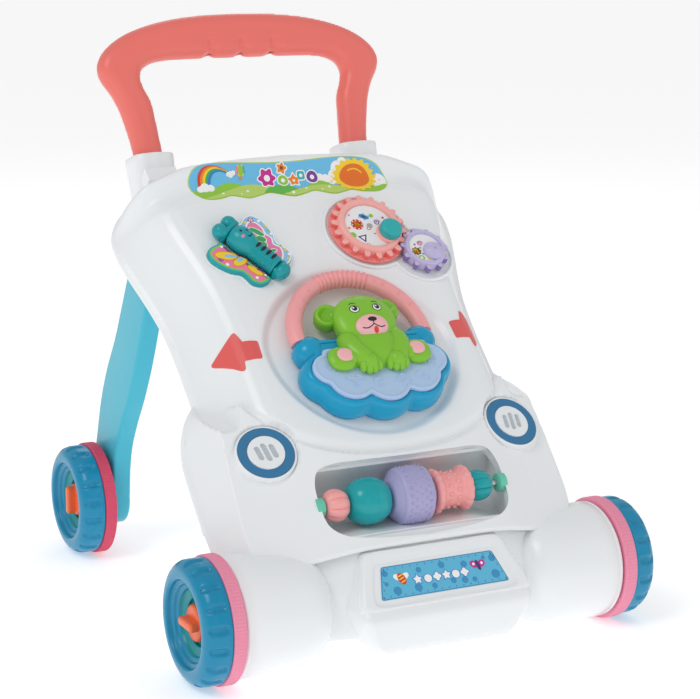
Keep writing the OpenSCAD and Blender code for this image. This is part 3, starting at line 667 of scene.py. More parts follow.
# Bell-shaped housings over the front axle
BELL = [(0, 80), (20, 80), (28, 81.6), (33, 84.4), (37, 88.8), (40, 95), (42.2, 104), (43.4, 115), (44, 128),
        (44.2, 140), (44.2, 150.6), (43.7, 151.2), (43.7, 151.9), (44.1, 152.4), (43.9, 153.6), (43, 154.4),
        (38, 154.6), (0, 154.6)]
for word, s in SIDES:
    axle = shift(0, FRONT_Y, AXLE_Z) @ turn(s * 90, "Y")
    piece(word + "_housing_surface", revolve(BELL, 128), WHITE, slot="white_shell",
          nodes=word + "_wheel_housing", place=axle, sharp=40)


# ---- label box under the bead window ----

BOX_PROFILE = [(17, 46.4, 50), (17.8, 47.9, 53.4), (20, 49.3, 56), (24, 50.9, 59), (31, 52.8, 62.6),
               (38, 54.7, 66), (42.5, 55.8, 67.9), (45, 56, 68.4), (47, 55.5, 68.6), (49.5, 53.8, 68.5),
               (52, 51.2, 68), (60, 44.8, 65.4), (70, 36.8, 62), (80, 28.8, 58.8), (84.5, 25.2, 57),
               (86, 23.6, 55.6), (86.6, 22, 53)]
rings = []
for z, front, half in BOX_PROFILE:
    rings.append([(x, -y, z) for x, y in
                  arc((half - 6, front - 6), 6, 0, 90, 8) + arc((-half + 6, front - 6), 6, 90, 180, 8)
                  + [(-half, 12), (half, 12)]])
piece("plate_box_skirt", loft(rings), WHITE, slot="white_shell", place=shift(0, FRONT_Y, 0), sharp=40)

PLATE_FACE = spaced(smooth([(-53, 0.6), (-20, 1.4), (20, 1.4), (53, 0.6), (57.5, -2.4), (61, -12),
                            (68.6, -37), (68.4, -42), (64.6, -45), (30, -45.6), (-30, -45.6), (-64.6, -45),
                            (-68.4, -42), (-68.6, -37), (-61, -12), (-57.5, -2.4)], 5), 1.2)
PLATE_SEAT = spaced(smooth([(-45, -7.6), (0, -7.4), (45, -7.6), (49.6, -9), (51.6, -13), (58, -35),
                            (57.4, -39), (53.5, -41), (0, -41.2), (-53.5, -41), (-57.4, -39), (-58, -35),
                            (-51.6, -13), (-49.6, -9)], 5), 1.2)


def plate_height(xy):
    d = np.maximum(inside_distance(PLATE_FACE, xy), 0)
    seat = inside_distance(PLATE_SEAT, xy)
    r = 4.0
    edge = np.where(d < r, -r + np.sqrt(np.maximum(r * r - (r - d) ** 2, 0)), 0)
    return edge + 0.6 - 1.7 * ease(-0.9, 0.9, seat)


piece("plate_box_face", draped(lambda xy: inside_distance(PLATE_FACE, xy), (-70, 70, -47, 3), 1.4,
                               plate_height, rims=[[(0.1, 2.0), (-0.6, 6.0)]]),
      WHITE, slot="white_shell", nodes="plate_box", place=PLATE, sharp=60)

# ---- push handle ----

HANDLE_OUT = smooth([(0, 116), (30, 115.2), (60, 112), (84, 106.4), (102, 99.4), (115, 91), (123, 82),
                     (126, 72.6), (123.6, 63), (117, 52), (112, 40), (108.6, 26), (105.4, 8), (104.2, -8),
                     (103.6, -33)], 6, False)
HANDLE_IN = smooth([(80.4, -33), (80.6, -8), (81.6, 8), (83, 26), (85, 44), (89.4, 55), (91.2, 63),
                    (89, 70.4), (82, 75.4), (70, 78.2), (50, 79), (0, 79)], 6, False)
HANDLE_LINE = spaced(mirrored(HANDLE_OUT + HANDLE_IN), 1.5)
GROOVES = (-28, 0, 28)


def handle_line(xy):
    d = inside_distance(HANDLE_LINE, xy)
    for g in GROOVES:
        notch = 2.4 * np.exp(-((xy[:, 0] - g) / 4.6) ** 2) * ease(90, 82, xy[:, 1])
        d = np.where(np.abs(xy[:, 0] - g) < 16, d - notch, d)
    return d


def handle_height(xy):
    d = np.clip(handle_line(xy), 0, None)
    r = 10.5
    h = np.where(d < r, np.sqrt(np.maximum(r * r - (r - d) ** 2, 0)), r) + 0.5
    for g in GROOVES:
        reach = slot_distance(xy, (g, 79), 90, 22, 8.0)
        h = h - 1.7 * ease(-0.6, 2.6, reach)
    return h


front = draped(handle_line, (-128, 128, -34, 118), 1.3, handle_height, rims=[[(0.0, 0.5)]])
rear = [(x, y, -z) for x, y, z in front[0]], [tuple(reversed(f)) for f in front[1]]
piece("handle_tube", joined(front, rear), CORAL, slot="coral_handle", nodes="handle", place=HANDLE, sharp=75)

# ---- sockets that hold the handle, on the back cover ----

for word, s in SIDES:
    rings = []
    for y, w, d, r in ((-52, 15.4, 13.5, 9), (-30, 16.8, 15.6, 9), (-6, 17.4, 16.6, 9), (-1.4, 17.4, 16.6, 9),
                       (-0.3, 16.8, 16, 8.6), (0.2, 15.6, 14.8, 7.6), (0.2, 13.2, 12.4, 5.6),
                       (-1.2, 12.6, 11.8, 5)):
        rings.append([(x, y, z) for x, z in rounded_rect(2 * w, 2 * d, r, 6, (s * 92, 0))])
    piece(word + "_handle_socket", loft(rings, True, True), WHITE, slot="white_shell", place=HANDLE, sharp=40)

# ---- rear legs ----

LEG_SIDE = smooth([(24.6, 53), (22, 74), (14, 95), (0, 133), (-16, 162), (-36, 190), (-56, 224), (-72, 252),
                   (-86, 276)],
                  5, False) + [(-92, 286), (-134, 286)] + \
    smooth([(-129, 270), (-111, 232), (-98, 204), (-82, 172), (-64, 142), (-47, 118), (-33, 94), (-27, 74),
            (-24.6, 53)],
           5, False) + arc((0, AXLE_Z), 24, 172, 368, 30)
LEG_WAY = Matrix(((0, 0, 1, 0), (1, 0, 0, REAR_Y), (0, 1, 0, 0), (0, 0, 0, 1)))
CUT = PANEL @ shift(0, 0, -42.5)


def leg_shape(x0, x1):
    """The leg, ending at the underside of the casing."""
    n = PANEL.to_3x3() @ Vector((0, 0, 1))
    line = [(float(q[0]), float(q[1])) for q in spaced(LEG_SIDE, 3)]
    over = [(LEG_WAY @ Vector((q[0], q[1], 0)) - CUT.translation).dot(n) for q in line]
    kept = []
    for i, q in enumerate(line):
        j = (i + 1) % len(line)
        if over[i] <= 0:
            kept.append(q)
        if over[i] * over[j] < 0:
            t = over[i] / (over[i] - over[j])
            kept.append((q[0] + (line[j][0] - q[0]) * t, q[1] + (line[j][1] - q[1]) * t))
    verts, faces = slab(kept, x0, x1, top=2.6, bottom=2.6, steps=5)
    return [tuple(LEG_WAY @ Vector(v)) for v in verts], faces


for word, _ in SIDES:
    lo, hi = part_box(word + "_leg")
    piece(word + "_leg_moulding", leg_shape(lo.x / MM, hi.x / MM), LEG, slot="teal_leg", nodes=word + "_leg",
          sharp=50)

# ---- wheels ----

RIM_GROOVES = 18
RIM_RADIUS = 44
TREAD_RIBS = 110
HUB_RADIUS = 24.4
HUB_DEPTH = 15
TYRE = [(8, 0.6), (8, 13), (21, 13), (27, 22), (34, 24), (39.6, 18), (39.6, 0.6), (42.4, 0.6), (42.4, 10),
        (45, 10.1), (45.4, 10.5)] + [(45.4, 10.5 + 8.9 * i / 8) for i in range(1, 9)] + \
    [(35.4 + 10 * math.cos(math.radians(6 * i)), 19.4 + 10 * math.sin(math.radians(6 * i)))
     for i in range(1, 15)] + \
    [(33.6, 29.5), (32.6, 29.2), (31.9, 28.4), (31.6, 27.4), (31.4, 26), (30.8, 25.4), (28.6, 25), (28, 24.6),
     (27.7, 23.4), (27.1, 22.9), (24.8, 22.5), (24.2, 22), (23.9, 20.4), (23.3, 19.9), (18, 19.2),
     (17.2, 18.6), (17, 16.2), (3.2, 16)]


def tyre_wave(a, r, z):
    if r < 36 or z < 11 or r < 42.5 and z < 12:
        return r
    step = 2 * math.pi / RIM_GROOVES
    across = ((a / step + 0.5) % 1 - 0.5) * step * RIM_RADIUS
    along = z - 20.0
    reach = 3.1 - math.hypot(across, max(abs(along) - 4.2, 0))
    t = min(max((reach + 0.3) / 1.8, 0), 1)
    return r - 1.9 * t * t * (3 - 2 * t)


def tread_wave(a, r, z):
    if r < 46:
        return r
    u = (a / (2 * math.pi) * TREAD_RIBS) % 1
    return r - 0.55 * (0.5 + 0.5 * math.cos(2 * math.pi * u)) * (1 if 1.2 < z < 8.6 else 0)


TREAD = [(42.4, 0.2), (45.6, 0), (46.5, 0.35), (46.8, 1.0), (46.8, 1.6), (46.8, 3.2), (46.8, 4.9),
         (46.8, 6.6), (46.8, 8.2), (46.8, 8.8), (46.5, 9.5), (45.8, 9.8), (42.4, 9.8)]
KNOB_BASE = [(0, 16.6), (13.2, 16.6), (13.5, 17.2), (13.5, 19.8), (13.2, 20.9), (12.4, 21.7), (11.2, 22.1),
             (8, 22.2), (0, 22.2)]
INNER_TEAL = plastic("wheel_teal", (0, 150, 160), 0.3)
for end, y, x in (("front", FRONT_Y, 155.6), ("rear", REAR_Y, 124.2)):
    for word, s in SIDES:
        name = end + "_" + word
        way = shift(s * x, y, AXLE_Z) @ turn(s * 90, "Y")
        tyre = revolve(TYRE, 288, tyre_wave)
        verts, faces = tyre
        tones = [1 if all(math.hypot(*verts[i][:2]) < HUB_RADIUS and verts[i][2] > HUB_DEPTH for i in f) else 0
                 for f in faces]
        piece(name + "_tyre", tyre, [BLUE, INNER_TEAL], name + "_wheel", "blue_wheel", name + "_wheel", way,
              45, tones)
        piece(name + "_tread_ring", revolve(TREAD, 440, tread_wave),
              PINK_TREAD if end == "front" else RED_TREAD, name + "_wheel", end + "_tread", name + "_tread",
              way, 60)
        bar = slab(rounded_rect(24, 7, 3.4, 8), 21, 28.6, top=2.2, steps=5)
        bar = moved(bar, turn(90 if end == "front" else 0, "Z"))
        piece(name + "_grip", joined(revolve(KNOB_BASE, 72), bar), ORANGE, name + "_knob", "orange_knob",
              name + "_knob", way, 45)


# ---- printed pictures ----

INK = {name: plastic("print_" + name, rgb, 0.3, grain=0.01) for name, rgb in {
    "white": (252, 252, 252), "lime": (150, 206, 66), "pale_green": (190, 218, 108), "green": (100, 190, 76),
    "red": (222, 66, 56), "orange": (242, 140, 40), "yellow": (252, 214, 52), "leaf": (60, 176, 96),
    "blue": (60, 132, 204), "magenta": (206, 44, 150), "purple": (124, 66, 160), "teal": (60, 184, 186),
    "cloud_pink": (244, 132, 178), "pale_blue": (150, 204, 240), "brown": (140, 70, 40),
    "navy": (74, 60, 120), "dot_blue": (62, 150, 200), "deep_orange": (236, 118, 32),
    "grey": (150, 150, 160)}.items()}
INK["black"] = BLACK


def blob(c, r, lobes=5, depth=0.2, n=60, squash=1.0, lean=0.0):
    """A rounded outline with soft lobes, such as a flower or a cloud."""
    out = []
    for i in range(n):
        a = 2 * math.pi * i / n
        q = r * (1 - depth * 0.5 * (1 - math.cos(lobes * a + lean)))
        out.append((c[0] + q * math.cos(a), c[1] + squash * q * math.sin(a)))
    return out


def star(c, r, points=5, inner=0.5, lean=90.0):
    out = []
    for i in range(2 * points):
        q = r if i % 2 == 0 else r * inner
        a = math.radians(lean + 180 * i / points)
        out.append((c[0] + q * math.cos(a), c[1] + q * math.sin(a)))
    return out


def stroke(path, width):
    """A line of the given width along the path."""
    p = np.array(path, float)
    t = np.gradient(p, axis=0)
    t /= np.maximum(np.linalg.norm(t, axis=1, keepdims=True), 1e-9)
    n = np.stack([-t[:, 1], t[:, 0]], 1) * width / 2
    return [tuple(q) for q in p + n] + [tuple(q) for q in (p - n)[::-1]]


def spiral(c, r, turns=1.6, n=30, start=0.0):
    return [(c[0] + r * (1 - 0.8 * i / n) * math.cos(start + 2 * math.pi * turns * i / n),
             c[1] + r * (1 - 0.8 * i / n) * math.sin(start + 2 * math.pi * turns * i / n))
             for i in range(n + 1)]


def oval(c, rx, ry, degrees=0.0, n=36):
    a = math.radians(degrees)
    out = []
    for i in range(n):
        t = 2 * math.pi * i / n
        x, y = rx * math.cos(t), ry * math.sin(t)
        out.append((c[0] + x * math.cos(a) - y * math.sin(a), c[1] + x * math.sin(a) + y * math.cos(a)))
    return out


def plain(xy):
    return casing_height(xy, False)


TOP_LABEL = smooth([(-88.3, 266), (-86.4, 258), (-81.5, 250.5), (-74.6, 247.6), (-66, 248), (-57, 250.2),
                    (-50, 248.4), (-42.5, 246.4), (-33, 248.5), (-23.8, 250.5), (-14, 247.8), (-3.8, 245.3),
                    (6, 247.4), (15.4, 249.8), (23, 247.4), (31.4, 245.1), (40, 246.6), (47.6, 248.3),
                    (54, 246.4), (61, 245.3), (71.3, 245.1), (78, 248.2), (82, 254), (81.8, 261), (77.5, 268),
                    (69, 273.4), (58, 276.4), (46, 277.2), (26, 276.4), (0, 275), (-30, 275.8), (-56, 278),
                    (-72, 278.6), (-82.5, 274.4)], 3)
top = Print(plain, 0.7)
top.add(grow(TOP_LABEL, 0.9), "pale_green", 1)
top.add(TOP_LABEL, SKY, 2)
for c, r in (((41, 268), 6), ((37, 263), 5), ((46, 272), 4.6), ((76, 256), 7), ((70, 250), 6), ((34, 259), 4),
             ((24, 262), 3.4), ((29, 261), 3.6)):
    top.add(circle(r, c, 28), "white", 3, within=TOP_LABEL)
for ink, level, outline in (
        ("lime", 4, [(-92, 257), (-80, 258.5), (-70, 258), (-62, 261.5), (-54.6, 262.8), (-46, 260.5),
                     (-36, 256), (-30, 240), (-70, 238), (-94, 244)]),
        ("lime", 4, [(8, 252), (17, 258), (24.5, 259.4), (31, 256), (38, 250), (20, 244)]),
        ("lime", 4, [(40, 238), (46, 252), (56, 254), (70, 250), (80, 252), (86, 246), (60, 236)]),
        ("pale_green", 5, [(-84, 246), (-68, 252), (-52, 257.4), (-40, 260), (-30, 259), (-19, 256),
                           (-12, 250), (-8, 240), (-40, 236), (-84, 238)]),
        ("green", 6, [(-30, 246), (-25, 254), (-16, 257.6), (-8, 257), (0, 253.4), (6, 247), (0, 240),
                      (-22, 240)]),
        ("pale_green", 7, [(-14, 246.5), (-4, 250), (6, 253), (18, 255), (30, 254.4), (42, 251.6), (52, 246),
                           (50, 238), (0, 236), (-12, 240)])):
    top.add(smooth(outline, 4), ink, level, within=TOP_LABEL)
OUTER = smooth([(-80.4, 259), (-80.8, 268), (-76.4, 274), (-68.5, 276.4), (-60, 273.6), (-52.6, 269)], 5,
               False)
INNER = smooth([(-70.6, 259), (-70.4, 265), (-67.6, 269.4), (-63.4, 271), (-58, 270.2), (-53, 268)], 5, False)
for k, ink in enumerate(("red", "orange", "yellow", "leaf", "blue")):
    bands = []
    for t in (k / 5, (k + 1) / 5):
        bands.append([(a[0] + (b[0] - a[0]) * t, a[1] + (b[1] - a[1]) * t) for a, b in zip(OUTER, INNER)])
    top.add(bands[0] + bands[1][::-1], ink, 8)
for c, r in (((-76, 259.6), 4), ((-80, 258.6), 2.9), ((-71.4, 259), 3.2), ((-52.8, 268.4), 2.2),
             ((-50.4, 269.2), 1.7), ((-55, 268.6), 1.5)):
    top.add(circle(r, c, 24), "white", 9)
top.add(oval((-44, 271), 4, 4.4), "yellow", 8)
top.add(oval((-44, 271), 2.2, 4.4), "lime", 9)
top.add(oval((-46.8, 271), 1.0, 3.2), "cloud_pink", 9)
top.add(oval((-41.2, 271), 1.0, 3.2), "teal", 9)
top.add(rounded_rect(2.4, 1.8, 0.5, 3, (-44.8, 265.2)), "orange", 9)
for c, r in (((-63, 252.4), 1.2), ((-42, 253), 1.4), ((-4, 248.6), 1.7), ((8.4, 252), 1.1), ((29, 252), 1.4),
             ((-48, 250.6), 0.8), ((22, 250), 0.8)):
    top.add(blob(c, r, 5, 0.35), "white", 9)
for outline, ink in ((blob((-22.4, 263.6), 7.6, 6, 0.3), "magenta"), (circle(4.2, (-9, 261)), "lime"),
                     (star((0.4, 260.6), 5.4, 5, 0.6), "orange"),
                     (rounded_rect(6.4, 6.4, 1.6, 3, (7.4, 264.2)), "teal"),
                     (circle(4.8, (17, 262.4)), "purple"), (blob((-8.6, 270.4), 4.4, 5, 0.4), "orange")):
    top.add(grow(outline, 0.9), "white", 10)
    top.add(outline, ink, 11)
for c, r, ink in (((-22.4, 263.6), 2.6, "white"), ((-9, 261), 1.8, "white"), ((17, 262.4), 1.9, "white"),
                  ((-8.6, 270.4), 1.4, "brown"), ((7.4, 264.2), 1.5, "white"), ((0.4, 260.4), 1.2, "white")):
    top.add(circle(r, c, 20), ink, 12)
SUN = (54.4, 260.2)
top.add(blob(SUN, 19.4, 18, 0.14, 200, 0.78), "yellow", 10, within=TOP_LABEL)
top.add(circle(13.2, SUN, 48, 0.78), "deep_orange", 11)
top.add(stroke([(SUN[0] + 8.6 * math.cos(a), SUN[1] + 6.7 * math.sin(a)) for a in np.linspace(0.5, 2.2, 16)],
               0.9),
        "yellow", 12)
for c, r in (((33, 257.6), 0.7), ((34.6, 262), 0.6), ((74, 262), 0.7), ((76.4, 257), 0.6), ((72, 267), 0.6)):
    top.add(circle(r, c, 16), "yellow", 12)
top.piece("top_label_print", slot="label_blue", nodes="top_label", place=PANEL)

# Arrows that wrap over the shoulders of the panel
for word, s in SIDES:
    outline = [(s * x, y) for x, y in smooth([(82.5, 111.4), (88, 112.4), (93, 113)], 2, False)
               + [(95.6, 121), (96.6, 122.4), (98.2, 121.8), (112.6, 109.4), (113, 107.6), (112, 105.6),
                  (100, 89.6), (98.4, 88.8), (97, 90), (96, 96.4), (88, 96), (83, 95.6), (82.2, 97),
                  (81.6, 110.4)]]
    arrow = Print(casing_height, 0.6, 0.5)
    arrow.add(spaced(outline, 1.2), ARROW, 1)
    arrow.piece(word + "_arrow_inlay", slot="arrow_coral", nodes=word + "_arrow", place=PANEL)

# Label of the box below the window
PLATE_LABEL = rounded_rect(100, 25, 2, 4, (0, -24.2))
PLATE_LABEL = spaced([(x * (0.93 + 0.0056 * (-12 - y)) * 0.985, y) for x, y in PLATE_LABEL], 3)
TAG_LEVEL = -0.95
tag = Print(None, 1.2, base=TAG_LEVEL)
tag.add(grow(PLATE_LABEL, -0.1), "dot_blue", 1)
tag.add(grow(PLATE_LABEL, -0.9), DEEP_SKY, 2)
inner = grow(PLATE_LABEL, -2.2)
for x, y in inner[::2]:
    tag.add(circle(0.42, (x, y), 10), "navy", 3)
for c, r in (((-44, -17), 2.4), ((-38, -31), 3.2), ((-17, -18), 2.2), ((-21, -31), 3.0), ((-8, -31.6), 2.2),
             ((2, -17), 2.6), ((8, -30), 2.2), ((20, -19), 2.6), ((17, -31), 2.6), ((44, -17.6), 2.8),
             ((43, -30), 3.4), ((25, -31.6), 2.0), ((-45, -25), 1.6), ((37, -16.4), 1.5)):
    tag.add(circle(r, c, 24), "dot_blue", 3)
for k, (x, ink) in enumerate(((-20, "white"), (-11.6, "white"), (-4, "white"), (3.6, "white"),
                              (11.2, "white"), (18.6, "white"))):
    outline = (star((x, -25), 3.7, 5, 0.55), circle(3.0, (x, -25.4), 24), blob((x, -25), 3.3, 4, 0.3))[k % 3]
    tag.add(grow(outline, 0.5), "blue", 4)
    tag.add(outline, ink, 5)
BEE = (-32, -22.6)
for dx, r in ((-3.2, 3.2), (3.0, 3.4)):
    tag.add(oval((BEE[0] + dx, BEE[1] + 1.6), r, 2.2, 30 if dx > 0 else -30), "white", 4)
tag.add(oval(BEE, 3.0, 4.6, 20), "red", 5)
for dy in (-2.2, 0.2, 2.4):
    tag.add(oval((BEE[0] - 0.3 * dy, BEE[1] + dy), 2.5, 0.5, 20), "yellow", 6)
BUG = (31, -21.5)
tag.add(oval((BUG[0] - 3, BUG[1] + 1), 3.4, 2.6, -35), "magenta", 4)
tag.add(oval((BUG[0] + 3, BUG[1] + 1), 3.4, 2.6, 35), "magenta", 4)
tag.add(oval(BUG, 1.4, 4.2, 12), "navy", 5)
for dx in (-3.4, 3.4):
    tag.add(circle(1.1, (BUG[0] + dx, BUG[1] + 1.2), 14), "white", 5)
tag.piece("plate_label_print", slot="plate_blue", nodes="plate_label", place=PLATE)

# ---- headlights ----

# Grey disc under each white lamp face, seen through its slots: painted shade for the shadowed slot recesses.
WELL_PAINTED_SHADE = plastic("lamp_well_painted_shade", (196, 204, 210), 0.4)
LAMP_FACE = [(23, -0.4), (23, 2.4), (22.8, 3.2), (22.3, 3.8), (21.8, 3.9), (21.4, 3.6), (21.3, 3.0),
             (21.3, 2.6), (14.0, 2.6), (14.0, 3.6), (13.8, 4.4), (13.3, 4.7), (12.8, 4.7), (12.7, 0.6)]
for word, s in SIDES:
    seat = PANEL @ shift(s * LAMP[0], LAMP[1], LAMP_W) @ turn(s * LAMP_TILT, "Y")
    slots = []
    for i in (-1, 0, 1):
        half = 6.6 - 1.7 * abs(i)
        slots.append([(i * 5.6 + x + y * 0.13 * s, y) for x, y in rounded_rect(4.2, 2 * half + 2.4, 2.0, 5)])

    def lamp_centre(xy, slots=slots):
        d = 12.9 - np.hypot(xy[:, 0], xy[:, 1])
        for outline in slots:
            d = np.minimum(d, -inside_distance(outline, xy))
        return d

    face = draped(lamp_centre, (-13.2, 13.2, -13.2, 13.2), 0.5,
                  lambda xy: 4.7 - 0.0006 * (xy[:, 0] ** 2 + xy[:, 1] ** 2),
                  rims=[[(0, 1.0)], [(0, 0.4), (-0.1, 3.2)]])
    piece(word + "_headlight_moulding", joined(revolve(LAMP_FACE, 96), face), WHITE, slot="white_shell",
          nodes=word + "_headlight", place=seat, sharp=40)
    # The grey well below the face is painted shade inside the slots.
    piece(word + "_headlight_painted_shade_well", slab(circle(13, n=48), 1.0, 3.1), WELL_PAINTED_SHADE, slot="white_shell",
          place=seat)
    piece(word + "_headlight_band", revolve([(21.2, 2.6), (21.2, 3.3), (21.0, 3.5), (14.2, 3.5), (14.1, 3.3),
                                             (14.1, 2.6)], 96), LAMP_BLUE, slot="lamp_ring",
          nodes=word + "_headlight_ring", place=seat)


# ---- beads ----

BEADS = shift(0, FRONT_Y + 7.3, 115.3)


def bead_place(x):
    return BEADS @ shift(x, 0, 0) @ turn(90, "Y")


def lobes(count, depth, mid):
    def wave(a, r, z):
        if r < 5.2:
            return r
        u = abs(math.sin(count * a / 2))
        return r * (1 - depth * (1 - u ** 0.55) * min(1, (r - 5.2) / (mid - 5.2) * 1.4))
    return wave


def round_profile(half, r, n=24, core=4.6):
    return [(core + (r - core) * math.sin(math.pi * i / n) ** 0.85, -half * math.cos(math.pi * i / n))
            for i in range(n + 1)]


def bored(profile):
    r = 2.55
    return [(r, profile[0][1])] + profile + [(r, profile[-1][1])]


piece("pink_pumpkin", revolve(bored(round_profile(9, 12)), 160, lobes(8, 0.13, 12)), BEAD_PINK,
      "pink_pumpkin_bead", "bead_pink", "pink_pumpkin_bead", bead_place(-62.3), 70)
piece("teal_pumpkin", revolve(bored(round_profile(9.6, 11.6)), 160, lobes(8, 0.13, 11.6)), BEAD_TEAL,
      "teal_pumpkin_bead", "bead_teal", "teal_pumpkin_bead", bead_place(56), 70)
seam = [(r - (0.35 if abs(z) < 0.45 else 0), z) for r, z in round_profile(16.5, 17.5, 48)]
piece("teal_ball", revolve(bored(seam), 96), BEAD_TEAL, "teal_ball_bead", "bead_teal", "teal_ball_bead",
      bead_place(-36.2), 30)
barrel = [(6, -16.9), (11, -17), (12.6, -16.7), (13.6, -15.8), (15.6, -14.4), (17.2, -13.4), (17.8, -12.6),
          (19.4, -12.2), (20.3, -11.6), (20.7, -10.4), (21.1, -7), (21.4, -3.4), (21.5, 0)]
barrel += [(r, -z) for r, z in reversed(barrel[:-1])]
studs = []
for k in range(-2, 3):
    for i in range(24):
        a = 2 * math.pi * (i + 0.5 * (k % 2)) / 24
        studs.append(ball((21.25 * math.cos(a), 21.25 * math.sin(a), 3.9 * k), 1.0, 10))
piece("lavender_barrel", joined(revolve(bored(barrel), 96), *studs), BEAD_LAVENDER, "barrel_bead",
      "bead_lavender", "barrel_bead", bead_place(-2), 40)
spool = [(6, -14.6), (12.6, -15), (15.6, -14.6), (16.9, -13.4), (17.1, -12), (16.6, -10.6), (14.9, -9.3),
         (13.4, -8.3), (12.9, -7), (12.8, -2), (12.8, 0)]
spool += [(r, -z) for r, z in reversed(spool[:-1])]
for_spool = []
for k in (-1, 1):
    for i in range(13):
        a = 2 * math.pi * (i + 0.25 * k) / 13
        for_spool.append(ball((12.9 * math.cos(a), 12.9 * math.sin(a), 3.5 * k), 1.7, 12))


def flute(a, r, z):
    if r < 14 or abs(z) < 9:
        return r
    return r - 0.7 * (0.5 + 0.5 * math.cos(16 * a)) ** 2


piece("pink_spool", joined(revolve(bored(spool), 144, flute), *for_spool), BEAD_PINK, "spool_bead",
      "bead_pink", "spool_bead", bead_place(30.6), 50)
for word, x in (("left", -75.5), ("right", 75.5)):
    piece(word + "_bead_collar", revolve([(2.5, -3.2), (6.2, -3.2), (7, -2.6), (7.2, 0), (7, 2.6), (6.2, 3.2),
                                          (2.5, 3.2)], 40), MINT, slot="mint",
          nodes="bead_collars" if word == "left" else (), place=bead_place(x))

# ---- gears ----

# Lighter and darker copies of the two gear colours: the lighter one is a painted highlight for lit tops, the
# darker one painted shade for the tooth flanks.
GEAR_PAINTED_HIGHLIGHT = plastic("gear_pink_painted_highlight", (255, 182, 176), 0.32)
GEAR_PAINTED_SHADE = plastic("gear_pink_painted_shade", (246, 122, 116), 0.34)
LILAC_PAINTED_HIGHLIGHT = plastic("gear_lavender_painted_highlight", (200, 192, 230), 0.32)
LILAC_PAINTED_SHADE = plastic("gear_lavender_painted_shade", (140, 120, 182), 0.34)
GEAR_MODULE = 2 * 47.4 / 29
MESH = -33.4
BIG_FLOOR = 8.4
SMALL_FLOOR = 8.8


def involute(r, rb):
    return math.sqrt(max(r * r - rb * rb, 0)) / rb - math.acos(min(1, rb / r)) if r > rb else 0.0


def gear_line(teeth, outer, root, lean):
    pitch = GEAR_MODULE * teeth / 2
    rb = pitch * math.cos(math.radians(22))
    half = math.pi / teeth / 2 - 0.5 / pitch / 2 + involute(pitch, rb)
    out = []
    for k in range(teeth):
        mid = math.radians(lean) + 2 * math.pi * k / teeth
        radii = [root + (outer - root) * i / 5 for i in range(6)]
        for s, rr in ([(-1, r) for r in radii] + [(1, r) for r in reversed(radii)]):
            a = mid + s * (half - involute(rr, rb))
            out.append((rr * math.cos(a), rr * math.sin(a)))
    return out


def toothed(teeth, outer, root, z0, z1, lean):
    """Teeth with rounded tops, the tops coloured as a painted highlight and the flanks as painted shade. Gives
    the shape and its tones.
    """
    shape = slab(gear_line(teeth, outer, root, lean), z0, z1, top=0.9, steps=3)
    tones = []
    for f in shape[1]:
        low = min(shape[0][i][2] for i in f)
        # Faces near the top take the painted highlight copy; the lower flanks take the painted shade copy.
        tones.append(1 if low > z1 - 1.0 else 2)
    return shape, tones


def assembled(*parts):
    """Joins (shape, tones or one tone) parts into one shape with its tones."""
    tones = []
    for shape, tone in parts:
        tones += list(tone) if isinstance(tone, list) else [tone] * len(shape[1])
    return joined(*[s for s, _ in parts]), tones


big_way = PANEL @ shift(BIG[0], BIG[1], PANEL_TOP)
teeth, tooth_light_shade_tones = toothed(18, 31.6, 26.2, 2.2, 8.4, MESH)
ring_ = revolve([(25.6, 2), (26.4, 2.2), (26.4, 8.6), (26.2, 9.8), (25.4, 10.8), (24.2, 11.2), (22.6, 11.1),
                 (21.6, 10.6), (21.0, 9.6), (20.9, BIG_FLOOR), (0, BIG_FLOOR)], 120)
flange = revolve([(2.6, 1.4), (31.6, 1.4), (32.3, 1.7), (32.5, 2.4), (32.2, 3.1), (31.4, 3.4), (26, 3.3)],
                 120)
# The ring wears the painted highlight copy and the tooth flanks the painted shade copy.
shape, tones = assembled((teeth, tooth_light_shade_tones), (ring_, 1), (flange, 0))
piece("big_gear_wheel", shape, [GEAR_PINK, GEAR_PAINTED_HIGHLIGHT, GEAR_PAINTED_SHADE], "big_gear", "gear_pink", "big_gear", big_way,
      40, tones)
DISC_WHITE = plastic("disc_white", (244, 244, 246), 0.3)
art = Print(None, 1.0, 0.06, BIG_FLOOR)
art.add(circle(20.6, n=72), DISC_WHITE, 1)
for outline, ink in (
        (blob((-10.2, 2.2), 5.4, 10, 0.08), "red"), (oval((-10.2, 2.2), 4.0, 3.2, -20), "orange"),
        (oval((-9.4, 2.0), 3.2, 1.0, -20), "yellow"), (blob((-1.8, 9.4), 5.2, 4, 0.55, 60, 0.7), "pale_blue"),
        (oval((-1.8, 9.4), 4.4, 2.0, -30), "blue"), (circle(1.9, (4.8, 9.8)), "lime"),
        (stroke(spiral((7.4, 2.8), 2.8), 0.8), "purple"), (circle(1.9, (-1.6, -2.4)), "orange"),
        (circle(2.8, (-17.4, -7.8)), "lime"), (star((-9.6, -11.2), 4.8, 3, 0.5, -80), "navy"),
        (circle(1.5, (-7.4, -18)), "cloud_pink"), (circle(1.2, (-18.2, -0.6)), "orange"),
        (circle(0.9, (-13.4, -15.6)), "magenta"), (blob((14.2, 7), 1.4, 5, 0.5), "magenta"),
        (star((-14, 12), 1.4, 5, 0.5), "cloud_pink"), (circle(0.8, (1.8, -8)), "teal")):
    art.add(outline, ink, 2)
for outline in (circle(1.0, (-1.6, -2.4)), star((-9.6, -11.2), 2.6, 3, 0.5, -80), circle(0.8, (-7.4, -18))):
    art.add(outline, DISC_WHITE, 3)
for a in range(0, 360, 45):
    c = (-10.2 + 4.3 * math.cos(math.radians(a)), 2.2 + 4.3 * math.sin(math.radians(a)))
    art.add(circle(0.55, c, 12), DISC_WHITE, 3)
art.piece("big_gear_print", body="big_gear", slot="gear_pink", place=big_way)


def knurl(a, r, z):
    if r < 8 or z > 16.4:
        return r
    return r - 0.35 * (0.5 + 0.5 * math.cos(36 * a))


